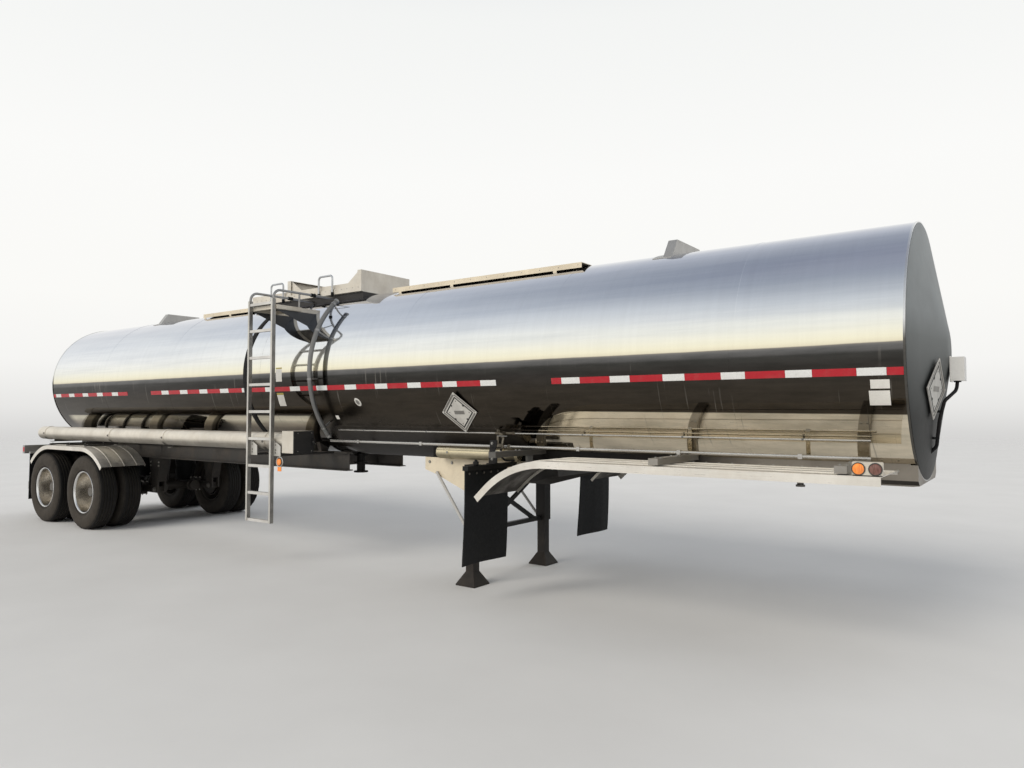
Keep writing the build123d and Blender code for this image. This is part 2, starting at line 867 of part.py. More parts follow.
# Overflow pipe that follows the jacket's right side up to the spill box, on short posts
with BuildPart() as overflow_pipe:
    start_angle = math.radians(overflow_from)
    start_point = (overflow_x, -overflow_orbit * math.cos(start_angle),
                   tank_z + overflow_orbit * math.sin(start_angle))
    with BuildSketch(Plane(origin=start_point, z_dir=(0, math.sin(start_angle), math.cos(start_angle)))):
        Circle(overflow_r)
    revolve(axis=Axis((0, 0, tank_z), (-1, 0, 0)), revolution_arc=overflow_to - overflow_from)
    for post in overflow_posts:
        post_angle = math.radians(post)
        root = tank_r - overflow_post_in
        rod((overflow_x, -root * math.cos(post_angle), tank_z + root * math.sin(post_angle)),
            (overflow_x, -overflow_orbit * math.cos(post_angle), tank_z + overflow_orbit * math.sin(post_angle)),
            overflow_post_r)
    tank_hollow()

# Upper coupler: a shallow box under the front of the tank, with the plate round the kingpin
with BuildPart() as coupler_frame:
    outline_across(coupler_rear, coupler_len, (
        (-coupler_half_w, coupler_top_z),
        (-coupler_half_w, coupler_side_z),
        (-coupler_plate_half_w, frame_under_z),
        (coupler_plate_half_w, frame_under_z),
        (coupler_half_w, coupler_side_z),
        (coupler_half_w, coupler_top_z),
    ))
    outline_along(-coupler_plate_half_w, 2 * coupler_plate_half_w, (
        (coupler_front - coupler_plate_len, coupler_low_z),
        (coupler_front - coupler_nose, coupler_low_z),
        (coupler_front, coupler_low_z + coupler_plate_t / 2),
        (coupler_front, frame_under_z),
        (coupler_front - coupler_plate_len, frame_under_z),
    ))
    tank_hollow()
    rod((kingpin_x, 0, coupler_low_z), (kingpin_x, 0, frame_under_z), kingpin_neck_r + seat, mode=Mode.SUBTRACT)

# Kingpin: neck, groove and lower flange
with BuildPart() as kingpin:
    neck_z = coupler_low_z - kingpin_neck_len
    head_z = coupler_low_z - kingpin_len + kingpin_head_len
    with BuildSketch(Plane.XZ):
        Polygon(
            (kingpin_x, frame_under_z - seat),
            (kingpin_x + kingpin_neck_r, frame_under_z - seat),
            (kingpin_x + kingpin_neck_r, neck_z),
            (kingpin_x + kingpin_r, neck_z - kingpin_taper),
            (kingpin_x + kingpin_r, head_z + kingpin_taper),
            (kingpin_x + kingpin_head_r, head_z),
            (kingpin_x + kingpin_head_r, coupler_low_z - kingpin_len),
            (kingpin_x, coupler_low_z - kingpin_len),
            align=None,
        )
    revolve(axis=Axis((kingpin_x, 0, 0), (0, 0, 1)))

# Landing gear frame: side plates under the coupler's edges, with cross members
with BuildPart() as landing_frame:
    for side in (-1, 1):
        outline_along(side * plate_y, -side * landing_plate_t, (
            (plate_rear_x, landing_plate_top),
            (plate_rear_x, landing_plate_top - plate_rear_edge[1]),
            (plate_rear_x + plate_rear_edge[0], landing_plate_top - plate_rear_edge[2]),
            (leg_x - leg_w - plate_flat, plate_low_z),
            (leg_x + leg_w + plate_flat, plate_low_z),
            (plate_front_x, landing_plate_top - plate_front_edge),
            (plate_front_x, landing_plate_top),
        ))
        block((plate_rear_x, plate_front_x), (side * (coupler_half_w + seat), side * plate_y),
              (landing_plate_top - landing_plate_t, landing_plate_top))
    for member_x in (coupler_rear + member_half, leg_x, plate_front_x - member_half):
        block((member_x - member_half, member_x + member_half),
              (landing_plate_t / 2 - plate_y, plate_y - landing_plate_t / 2),
              (member_low_z, frame_under_z - seat))

# Landing legs with flared feet on the ground
with BuildPart() as landing_legs:
    for side in (-1, 1):
        leg_mid = side * leg_y
        block((leg_x - leg_w / 2, leg_x + leg_w / 2), (leg_mid - leg_w / 2, leg_mid + leg_w / 2),
              (leg_split_z, leg_top_z))
        block((leg_x - leg_inner_w / 2, leg_x + leg_inner_w / 2),
              (leg_mid - leg_inner_w / 2, leg_mid + leg_inner_w / 2), (foot_t, leg_split_z))
        with BuildSketch(Plane.XY.offset(foot_t)) as foot_low:
            with Locations((leg_x, leg_mid)):
                Rectangle(2 * foot_half, 2 * foot_half)
        with BuildSketch(Plane.XY.offset(foot_flare_z)) as foot_high:
            with Locations((leg_x, leg_mid)):
                Rectangle(leg_inner_w, leg_inner_w)
        loft([foot_low.sketch, foot_high.sketch])
        block((leg_x - foot_half, leg_x + foot_half), (leg_mid - foot_half, leg_mid + foot_half), (0, foot_t))

# Cross bar and crossed braces between the legs, and the stays back to the landing frame
with BuildPart() as landing_braces:
    block((leg_x - brace_half, leg_x + brace_half), (-plate_y, plate_y), (brace_z - brace_half, brace_z + brace_half))
    for side in (-1, 1):
        bar((leg_x, side * (plate_y - landing_plate_t - seat), member_low_z - 2 * brace_half),
            (leg_x, -side * plate_y * brace_side, brace_z), brace_half, 2 * brace_half)
    for side in (-1, 1):
        block((leg_x - leg_w, leg_x + leg_w), (side * (plate_y - landing_plate_t - seat), side * (plate_y + seat)),
              (plate_low_z - seat, member_low_z), mode=Mode.SUBTRACT)
        stay_x = leg_x - leg_w / 2 - seat
        rod((stay_x - stay_r, side * leg_y, brace_z + brace_half),
            (plate_rear_x + stay_reach, side * (plate_y + stay_r + seat), stay_end_z), stay_r)
        rod((stay_x, side * leg_y, brace_z + stay_up), (stay_x - 2 * stay_r, side * leg_y, brace_z + stay_up), stay_r)

# Air reservoir on the landing frame's flange
with BuildPart() as air_reservoir:
    reservoir_x = (tank_front - reservoir_rear, tank_front - reservoir_rear + reservoir_len)
    rod((reservoir_x[0], reservoir_y, reservoir_z), (reservoir_x[1], reservoir_y, reservoir_z), reservoir_r)
    fillet(air_reservoir.edges().filter_by(GeomType.CIRCLE), reservoir_round)
    for strap_x in (reservoir_x[0] + reservoir_len / 6, reservoir_x[1] - reservoir_len / 6):
        block((strap_x - strap_w / 2, strap_x + strap_w / 2), (reservoir_y, landing_plate_t - plate_y),
              (landing_plate_top + seat, landing_plate_top + seat + strap_t))
        rod((strap_x - strap_w / 2, reservoir_y, reservoir_z), (strap_x + strap_w / 2, reservoir_y, reservoir_z),
            reservoir_r + strap_band)

# Front fenders: ribbed sheets that bend down behind
ffender_line = (
    (ffender_front, ffender_top_z),
    (ffender_rear + ffender_tip[0], ffender_top_z),
    (ffender_rear, ffender_top_z - ffender_tip[1]),
)
with BuildPart() as front_fenders:
    for side_name, side in sides:
        ribbed_fender(ffender_line, side)

# Channels that carry the front fenders from the coupler, and the mudflaps' arms
with BuildPart() as fender_arms:
    arm_low_z = ffender_top_z + bead_h + seat
    for side in (-1, 1):
        for arm_back in fender_arm_back:
            arm_x = (tank_front - arm_back - fender_arm_w / 2, tank_front - arm_back + fender_arm_w / 2)
            arm_y = (coupler_half_w + seat, fender_out_y - fender_arm_short)
            block(arm_x, (side * arm_y[0], side * arm_y[1]), (arm_low_z, arm_low_z + fender_arm_h))
            block((arm_x[0] + fender_t, arm_x[1] - fender_t),
                  (side * (arm_y[0] + fender_arm_solid), side * (arm_y[1] - fender_t)),
                  (arm_low_z, arm_low_z + fender_arm_h - fender_t), mode=Mode.SUBTRACT)
        rear_arm_x = tank_front - fender_arm_back[0] - fender_arm_w / 2
        outline_along(side * (fender_in_y + fender_arm_solid), side * hanger_plate_t, (
            (rear_arm_x, arm_low_z + fender_arm_h - fender_t),
            (rear_arm_x, fender_height(rear_arm_x) + hanger_plate_gap),
            (rear_arm_x + fender_arm_w, fender_height(rear_arm_x + fender_arm_w) + hanger_plate_gap),
            (rear_arm_x + fender_arm_w, arm_low_z + fender_arm_h - fender_t),
        ))
        block((flap_x - flap_arm_w / 2, flap_x + flap_arm_w / 2), (side * (plate_y + seat), side * flap_out_y),
              (flap_top_z, flap_top_z + flap_arm_h))
    tank_hollow()

# Front mudflaps
with BuildPart() as front_mudflaps:
    for side in (-1, 1):
        block((flap_x - flap_t / 2, flap_x + flap_t / 2), (side * flap_in_y, side * flap_out_y),
              (flap_low_z, flap_top_z - seat))

# Lamp boxes on the front ends of the fenders
with BuildPart() as side_lamps:
    box_x1 = tank_front - lamp_box_back
    box_z1 = ffender_top_z + seat
    box_y1 = fender_out_y - lamp_box_set_in
    for side in (-1, 1):
        block((box_x1, box_x1 + lamp_box_len), (side * (box_y1 - lamp_box_w), side * box_y1),
              (box_z1, box_z1 + lamp_box_h))
        for lamp_at in (-side_lamp_pitch / 2, side_lamp_pitch / 2):
            lamp_x = box_x1 + lamp_box_len / 2 + lamp_at
            rod((lamp_x, side * box_y1, box_z1 + lamp_box_h / 2),
                (lamp_x, side * (box_y1 + side_lamp_t), box_z1 + lamp_box_h / 2), side_lamp_r)

# Side markers: a strap with a round lamp and a reflector, under the ladder's plate on the right
# and under an arm from the frame on the left
with BuildPart() as side_markers:
    strap_x = (marker_x - marker_strap_w / 2, marker_x + marker_strap_w / 2)
    for side in (-1, 1):
        strap_y = (side * (marker_y - marker_strap_t), side * marker_y)
        block(strap_x, strap_y, (reflector_z[0], gusset_low_z - seat))
        rod((marker_x, side * marker_y, marker_z), (marker_x, side * (marker_y + marker_t), marker_z), marker_r)
        block((marker_x - reflector_w / 2, marker_x + reflector_w / 2),
              (side * marker_y, side * (marker_y + reflector_t)), reflector_z)
    block(strap_x, (rail_y + frame_flange_w / 2 + seat, marker_y), (gusset_low_z - seat, frame_top_z))

# Rear frame: two I-beams under the tank
with BuildPart() as rear_frame:
    for side in (-1, 1):
        mid_y = side * rail_y
        block((frame_rear, frame_front), (mid_y - frame_web_t / 2, mid_y + frame_web_t / 2),
              (frame_low_z, frame_top_z))
        for flange_z in (frame_low_z, frame_top_z - frame_flange_t):
            block((frame_rear, frame_front), (mid_y - frame_flange_w / 2, mid_y + frame_flange_w / 2),
                  (flange_z, flange_z + frame_flange_t))

# Saddles that carry the tank on the frame, and the members between the rails
with BuildPart() as frame_saddles:
    for at_x in saddle_x:
        for side in (-1, 1):
            outline_across(at_x - saddle_w / 2, saddle_w, (
                (side * (rail_y - frame_flange_w / 2), frame_top_z + seat),
                (side * (rail_y + frame_flange_w / 2), frame_top_z + seat),
                (side * (rail_y + saddle_half), under_jacket(rail_y + saddle_half)),
                (side * (rail_y - saddle_half), under_jacket(rail_y + saddle_half)),
            ))
        block((at_x - saddle_w / 2, at_x + saddle_w / 2),
              (-rail_y + frame_web_t / 2 + seat, rail_y - frame_web_t / 2 - seat),
              (frame_low_z + member_up, frame_top_z - member_down))
    tank_hollow()

# Suspension hangers under the rails: forks round the arms' pins
with BuildPart() as suspension_hangers:
    for axle_x in axle_xs:
        for side in (-1, 1):
            mid_y = side * rail_y
            at_x = axle_x + hanger_lead
            outline_along(mid_y - hanger_w / 2, hanger_w, (
                (at_x - hanger_len, frame_low_z - seat),
                (at_x + hanger_len, frame_low_z - seat),
                (at_x + hanger_len / 2, tyre_r + hanger_slot),
                (at_x + hanger_len / 2, hanger_low_z),
                (at_x - hanger_len / 2, hanger_low_z),
                (at_x - hanger_len / 2, tyre_r + hanger_slot),
            ))
            block((at_x - hanger_len, at_x + hanger_len), (mid_y - arm_w / 2 - slot_gap, mid_y + arm_w / 2 + slot_gap),
                  (hanger_low_z - slot_gap, tyre_r + hanger_slot), mode=Mode.SUBTRACT)
            rod((at_x, mid_y - hanger_w, tyre_r), (at_x, mid_y + hanger_w, tyre_r), pivot_r + seat,
                mode=Mode.SUBTRACT)

# Trailing arms, seated on the axles
with BuildPart() as trailing_arms:
    for axle_x in axle_xs:
        for side in (-1, 1):
            mid_y = side * rail_y
            block((axle_x - arm_tail, axle_x + hanger_lead + arm_nose), (mid_y - arm_w / 2, mid_y + arm_w / 2),
                  (tyre_r - arm_h / 2, tyre_r + arm_h / 2))
            block((axle_x - axle_clamp_half, axle_x + axle_clamp_half), (mid_y - arm_w / 2, mid_y + arm_w / 2),
                  (tyre_r - axle_clamp_half, tyre_r + axle_clamp_half))
            rod((axle_x + hanger_lead, mid_y - hanger_w / 2 - pivot_over, tyre_r),
                (axle_x + hanger_lead, mid_y + hanger_w / 2 + pivot_over, tyre_r), pivot_r)
            rod((axle_x, mid_y - arm_w, tyre_r), (axle_x, mid_y + arm_w, tyre_r), axle_r + seat, mode=Mode.SUBTRACT)

# Air springs between the arms and the rails, with a waist between two bellows
with BuildPart() as air_springs:
    spring_low_z = tyre_r + arm_h / 2 + seat
    spring_h = frame_low_z - seat - spring_low_z
    for axle_x in axle_xs:
        for side in (-1, 1):
            spring_x = axle_x - air_spring_back
            with BuildSketch(Plane.XZ.offset(-side * rail_y)):
                with BuildLine():
                    Polyline((spring_x, spring_low_z + spring_h), (spring_x, spring_low_z),
                             (spring_x + air_spring_r - air_spring_waist, spring_low_z))
                    for bellows in range(2):
                        bellows_z = spring_low_z + bellows * spring_h / 2
                        ThreePointArc((spring_x + air_spring_r - air_spring_waist, bellows_z),
                                      (spring_x + air_spring_r, bellows_z + spring_h / 4),
                                      (spring_x + air_spring_r - air_spring_waist, bellows_z + spring_h / 2))
                    Line((spring_x + air_spring_r - air_spring_waist, spring_low_z + spring_h),
                         (spring_x, spring_low_z + spring_h))
                make_face()
            revolve(axis=Axis((spring_x, side * rail_y, 0), (0, 0, 1)))

# Axles with spindles, brake backing plates and brake chambers
axles = {}
for axle_name, axle_x in zip(axle_names, axle_xs):
    with BuildPart() as axle:
        rod((axle_x, -axle_track_in, tyre_r), (axle_x, axle_track_in, tyre_r), axle_r)
        for side in (-1, 1):
            rod((axle_x, side * axle_track_in, tyre_r), (axle_x, side * (twin_mid_y + spindle_reach), tyre_r),
                spindle_r)
            backing_y = axle_track_in + backing_in
            rod((axle_x, side * backing_y, tyre_r), (axle_x, side * (backing_y + backing_t), tyre_r), backing_r)
            chamber_x = axle_x + axle_r + chamber_gap
            rod((chamber_x, side * chamber_y, tyre_r), (chamber_x + chamber_len, side * chamber_y, tyre_r),
                chamber_r)
            block((axle_x, chamber_x + chamber_lug), (side * (chamber_y - chamber_lug), side * (chamber_y + chamber_lug)),
                  (tyre_r - axle_r / 2, tyre_r + axle_r / 2))
    axles[f"axle_{axle_name}"] = axle

# Twin wheels: tyres, and rims with hub and drum
wheels = {}
for axle_name, axle_x in zip(axle_names, axle_xs):
    for side_name, side in sides:
        with BuildPart() as tyres:
            for tyre_y in (twin_mid_y + twin_pitch / 2, twin_mid_y - twin_pitch / 2):
                low = axle_x + rim_r + seat
                bead = axle_x + rim_flange_r + seat
                belly = axle_x + belly_r
                shoulder = axle_x + shoulder_r
                tread = axle_x + tyre_r
                base = side * tyre_y
                shoulder_half = tread_half_w + shoulder_over
                flat_half = tread_half_w - tread_round
                with BuildSketch(Plane.XY.offset(tyre_r)):
                    with BuildLine():
                        Polyline((bead, base - rim_half_w), (low, base - rim_half_w),
                                 (low, base + rim_half_w), (bead, base + rim_half_w))
                        ThreePointArc((bead, base + rim_half_w), (belly, base + tyre_half_w),
                                      (shoulder, base + shoulder_half))
                        Polyline((shoulder, base + shoulder_half), (tread, base + flat_half),
                                 (tread, base - flat_half), (shoulder, base - shoulder_half))
                        ThreePointArc((shoulder, base - shoulder_half), (belly, base - tyre_half_w),
                                      (bead, base - rim_half_w))
                    make_face()
                revolve(axis=Axis((axle_x, 0, tyre_r), (0, 1, 0)))
        with BuildPart() as rims:
            for face in (1, -1):
                rim_y = side * (twin_mid_y + face * twin_pitch / 2)
                out = side * face
                with BuildSketch(Plane.XY.offset(tyre_r)):
                    Polygon(
                        (axle_x + rim_flange_r, rim_y + out * (rim_half_w + rim_flange_w)),
                        (axle_x + rim_flange_r, rim_y + out * (rim_half_w + seat)),
                        (axle_x + rim_r, rim_y + out * (rim_half_w + seat)),
                        (axle_x + rim_r, rim_y - out * (rim_half_w + seat)),
                        (axle_x + rim_flange_r, rim_y - out * (rim_half_w + seat)),
                        (axle_x + rim_flange_r, rim_y - out * (rim_half_w + rim_flange_w)),
                        (axle_x + rim_r - rim_t, rim_y - out * (rim_half_w + rim_flange_w)),
                        (axle_x + disc_r, rim_y - out * (twin_pitch / 2)),
                        (axle_x + hub_bore_r, rim_y - out * (twin_pitch / 2)),
                        (axle_x + hub_bore_r, rim_y - out * (twin_pitch / 2 - disc_t)),
                        (axle_x + disc_r - disc_round, rim_y - out * (twin_pitch / 2 - disc_t)),
                        (axle_x + rim_r - 2 * rim_t, rim_y - out * (rim_half_w - rim_well)),
                        (axle_x + rim_r - rim_t, rim_y + out * (rim_half_w + rim_flange_w)),
                        align=None,
                    )
                revolve(axis=Axis((axle_x, 0, tyre_r), (0, 1, 0)))
            hub_plane = Plane(origin=(axle_x, 0, tyre_r), x_dir=(1, 0, 0), z_dir=(0, side, 0))
            with BuildSketch(hub_plane.offset(twin_mid_y - disc_t - run_gap)):
                with PolarLocations(hand_hole_circle_r, hand_holes):
                    Circle(hand_hole_r)
            extrude(amount=2 * (disc_t + run_gap), mode=Mode.SUBTRACT)
            with BuildSketch(hub_plane.offset(drum_in_y + hub_in)):
                Circle(hub_r)
            extrude(amount=twin_mid_y + hub_out - drum_in_y - hub_in)
            with BuildSketch(hub_plane.offset(twin_mid_y + hub_out)):
                Circle(hub_cap_r)
            extrude(amount=hub_cap_len)
            with BuildSketch(hub_plane.offset(drum_in_y)):
                Circle(drum_r)
                Circle(drum_r - drum_wall, mode=Mode.SUBTRACT)
            extrude(amount=twin_mid_y - disc_t - drum_in_y)
            with BuildSketch(hub_plane.offset(twin_mid_y - disc_t - drum_face_t)):
                Circle(drum_r)
            extrude(amount=drum_face_t)
            with BuildSketch(hub_plane.offset(drum_in_y)):
                Circle(spindle_r + spindle_fit)
            extrude(amount=twin_mid_y + spindle_reach + run_gap - drum_in_y, mode=Mode.SUBTRACT)
        wheels[f"tyres_{axle_name}_{side_name}"] = tyres
        wheels[f"rims_{axle_name}_{side_name}"] = rims

# Rear fenders over the twin wheels
rfender_front = rfender_rear + rfender_len
rfender_line = (
    (rfender_front, rfender_top_z - rfender_tip[1]),
    (rfender_front - rfender_tip[0], rfender_top_z),
    (rfender_rear + rfender_tip[0], rfender_top_z),
    (rfender_rear, rfender_top_z - rfender_tip[1]),
)
with BuildPart() as rear_fenders:
    for side_name, side in sides:
        ribbed_fender(rfender_line, side)

# Arms that carry the rear fenders from the rails' webs, over the fenders
with BuildPart() as rear_fender_arms:
    rarm_z = rfender_top_z + bead_h + seat
    for side in (-1, 1):
        for step in (-1, 0, 1):
            rarm_x = axle_mid_x + step * rfender_arm_spread
            block((rarm_x - rfender_arm_w / 2, rarm_x + rfender_arm_w / 2),
                  (side * (rail_y + frame_web_t / 2 + seat), side * (fender_out_y - rfender_arm_short)),
                  (rarm_z, rarm_z + rfender_arm_h))

# Rear mudflaps
with BuildPart() as rear_mudflaps:
    for side in (-1, 1):
        block((rflap_x - flap_t / 2, rflap_x + flap_t / 2), (side * flap_in_y, side * flap_out_y),
              (rflap_low_z, rflap_top_z))

# Tail: cross beam, and the under-ride guard on two posts
with BuildPart() as rear_bumper:
    block((tail_x, tail_x + tail_beam_len), (-tail_half, tail_half), tail_beam_z)
    block((tail_x, tail_x + guard_bar_t), (-guard_bar_half, guard_bar_half), guard_bar_z)
    for side in (-1, 1):
        block((tail_x, tail_x + guard_post_w), (side * guard_post_y, side * (guard_post_y + guard_post_w)),
              (guard_bar_z[1], tail_beam_z[0]))
        block((tail_x + tail_beam_len, frame_rear - seat),
              (side * (rail_y - frame_flange_w / 2), side * (rail_y + frame_flange_w / 2)), tail_beam_z)
        block((rflap_x - flap_bar_w / 2, rflap_x + flap_bar_w / 2), (side * flap_in_y, side * flap_out_y),
              (rflap_top_z + seat, rflap_top_z + flap_bar_h))
        block((tail_x + tail_beam_len, rflap_x), (side * flap_link_y, side * (flap_link_y + flap_link_w)),
              (rflap_top_z + flap_link_in, rflap_top_z + flap_bar_h - flap_link_in))

# Round lamps on the tail beam
with BuildPart() as tail_lamps:
    for side in (-1, 1):
        for lamp_at in lamp_y:
            rod((tail_x - lamp_t, side * lamp_at, sum(tail_beam_z) / 2),
                (tail_x - seat, side * lamp_at, sum(tail_beam_z) / 2), lamp_r)

# Blank sign holders on the jacket's sides and on both heads
with BuildPart() as placard_holders:
    for side in (-1, 1):
        low = math.radians(placard_angle)
        out_dir = Vector(0, side * math.cos(low), -math.sin(low))
        centre = Vector(placard_x, 0, tank_z) + out_dir * (tank_r + placard_stand)
        sign_plane = Plane(origin=centre, x_dir=(1, 0, 0), z_dir=out_dir)
        with BuildSketch(sign_plane):
            Rectangle(placard_side, placard_side, rotation=45)
        extrude(amount=placard_t)
        with BuildSketch(sign_plane):
            with GridLocations(placard_side * stud_share, 0, 2, 1):
                Circle(stud_r)
        extrude(amount=-2 * placard_stand)
    for head_x, way in ((tank_front, 1), (tank_rear, -1)):
        sign_x = head_x + way * head_depth
        end_plane = Plane(origin=(sign_x, end_placard_y, end_placard_z), x_dir=(0, 1, 0), z_dir=(way, 0, 0))
        with BuildSketch(end_plane):
            Rectangle(placard_side, placard_side, rotation=45)
        extrude(amount=placard_t)
        with BuildSketch(end_plane):
            with GridLocations(placard_side * stud_share, 0, 2, 1):
                Circle(stud_r)
        extrude(amount=-head_depth)
        with BuildSketch(Plane.XZ):
            Polygon(*head_profile(head_x, way, seat), align=None)
        revolve(axis=Axis((0, 0, tank_z), (1, 0, 0)), mode=Mode.SUBTRACT)
    tank_hollow()

# Plug box on the front head
with BuildPart() as plug_box:
    plug_x = tank_front + head_depth + seat
    block((plug_x, plug_x - seat + plug_box_d), (-plug_box_w / 2, plug_box_w / 2),
          (plug_box_z - plug_box_h / 2, plug_box_z + plug_box_h / 2))

# Bottom outlet with its valve
with BuildPart() as outlet_valve:
    rod((outlet_x, 0, outlet_low_z), (outlet_x, 0, tank_z - tank_r / 2), outlet_r)
    for flange_z in (outlet_low_z, outlet_low_z + outlet_valve_h, tank_low_z - outlet_flange_drop):
        rod((outlet_x, 0, flange_z), (outlet_x, 0, flange_z + outlet_flange_t), outlet_flange_r)
    with BuildSketch(Plane.XY.offset(outlet_low_z)):
        with Locations((outlet_x, 0)):
            with PolarLocations(outlet_bolt_pcd / 2, outlet_bolts):
                Circle(outlet_bolt_r)
    extrude(amount=outlet_flange_t, mode=Mode.SUBTRACT)
    tank_hollow()

nodes = {
    "tank_barrel": tank_barrel,
    **heads,
    "ring_band": ring_band,
    "spill_box": spill_box,
    "grab_hoops": grab_hoops,
    "walkways": walkways,
    "rollover_guards": rollover_guards,
    "manhole_collar": manhole_collar,
    "manhole_lid": manhole_lid,
    "top_valves": top_valves,
    "ladder": ladder,
    "ladder_treads": ladder_treads,
    "step_platform": step_platform,
    "handrails": handrails,
    "hose_tube": hose_tube,
    "hose_tube_door": hose_tube_door,
    "hose_brackets": hose_brackets,
    "air_line": air_line,
    "overflow_pipe": overflow_pipe,
    "coupler_frame": coupler_frame,
    "kingpin": kingpin,
    "landing_frame": landing_frame,
    "landing_legs": landing_legs,
    "landing_braces": landing_braces,
    "air_reservoir": air_reservoir,
    "front_fenders": front_fenders,
    "fender_arms": fender_arms,
    "front_mudflaps": front_mudflaps,
    "side_lamps": side_lamps,
    "side_markers": side_markers,
    "rear_frame": rear_frame,
    "frame_saddles": frame_saddles,
    "suspension_hangers": suspension_hangers,
    "trailing_arms": trailing_arms,
    "air_springs": air_springs,
    **axles,
    **wheels,
    "rear_fenders": rear_fenders,
    "rear_fender_arms": rear_fender_arms,
    "rear_mudflaps": rear_mudflaps,
    "rear_bumper": rear_bumper,
    "tail_lamps": tail_lamps,
    "placard_holders": placard_holders,
    "plug_box": plug_box,
    "outlet_valve": outlet_valve,
}

for node_name, node in nodes.items():
    node.part.label = node_name
    export_step(node.part, f"parts/{node_name}.step")
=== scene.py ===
import bpy
import math
import random
from itertools import product
from mathutils import Matrix, Vector


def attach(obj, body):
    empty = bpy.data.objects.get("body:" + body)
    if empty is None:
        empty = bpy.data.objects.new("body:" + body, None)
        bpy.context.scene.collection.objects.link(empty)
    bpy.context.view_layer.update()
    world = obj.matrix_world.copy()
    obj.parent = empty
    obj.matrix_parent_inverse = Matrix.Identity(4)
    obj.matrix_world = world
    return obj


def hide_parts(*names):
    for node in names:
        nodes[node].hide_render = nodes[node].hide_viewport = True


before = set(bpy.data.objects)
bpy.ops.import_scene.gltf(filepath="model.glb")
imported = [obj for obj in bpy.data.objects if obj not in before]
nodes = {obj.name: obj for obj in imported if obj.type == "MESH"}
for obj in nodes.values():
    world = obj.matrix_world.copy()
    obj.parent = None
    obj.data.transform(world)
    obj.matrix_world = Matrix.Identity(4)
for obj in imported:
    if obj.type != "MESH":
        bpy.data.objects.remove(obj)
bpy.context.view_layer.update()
rng = random.Random(11)

# Main sizes of the trailer, in metres, as the solids have them
TANK_R, TANK_Z = 0.945, 2.103
REAR, FRONT = -6.08, 6.15
RIM_BAND_R, RIM_BAND_W = 0.951, 0.014
WHEEL_Z, TWIN_Y = 0.52, 0.984
AXLES = {"front": -4.2125, "rear": -5.4575}
RIGHT, LEFT = -1, 1
SIDES = (RIGHT, LEFT)


# Materials
def shade(colour, factor, lift=0.0):
    return tuple(min(1, c * factor + lift) for c in colour)


def fill_ramp(ramp, stops):
    while len(ramp.elements) < len(stops):
        ramp.elements.new(0.5)
    for element, (at, colour) in zip(ramp.elements, stops):
        element.position = at
        element.color = (*colour, 1)


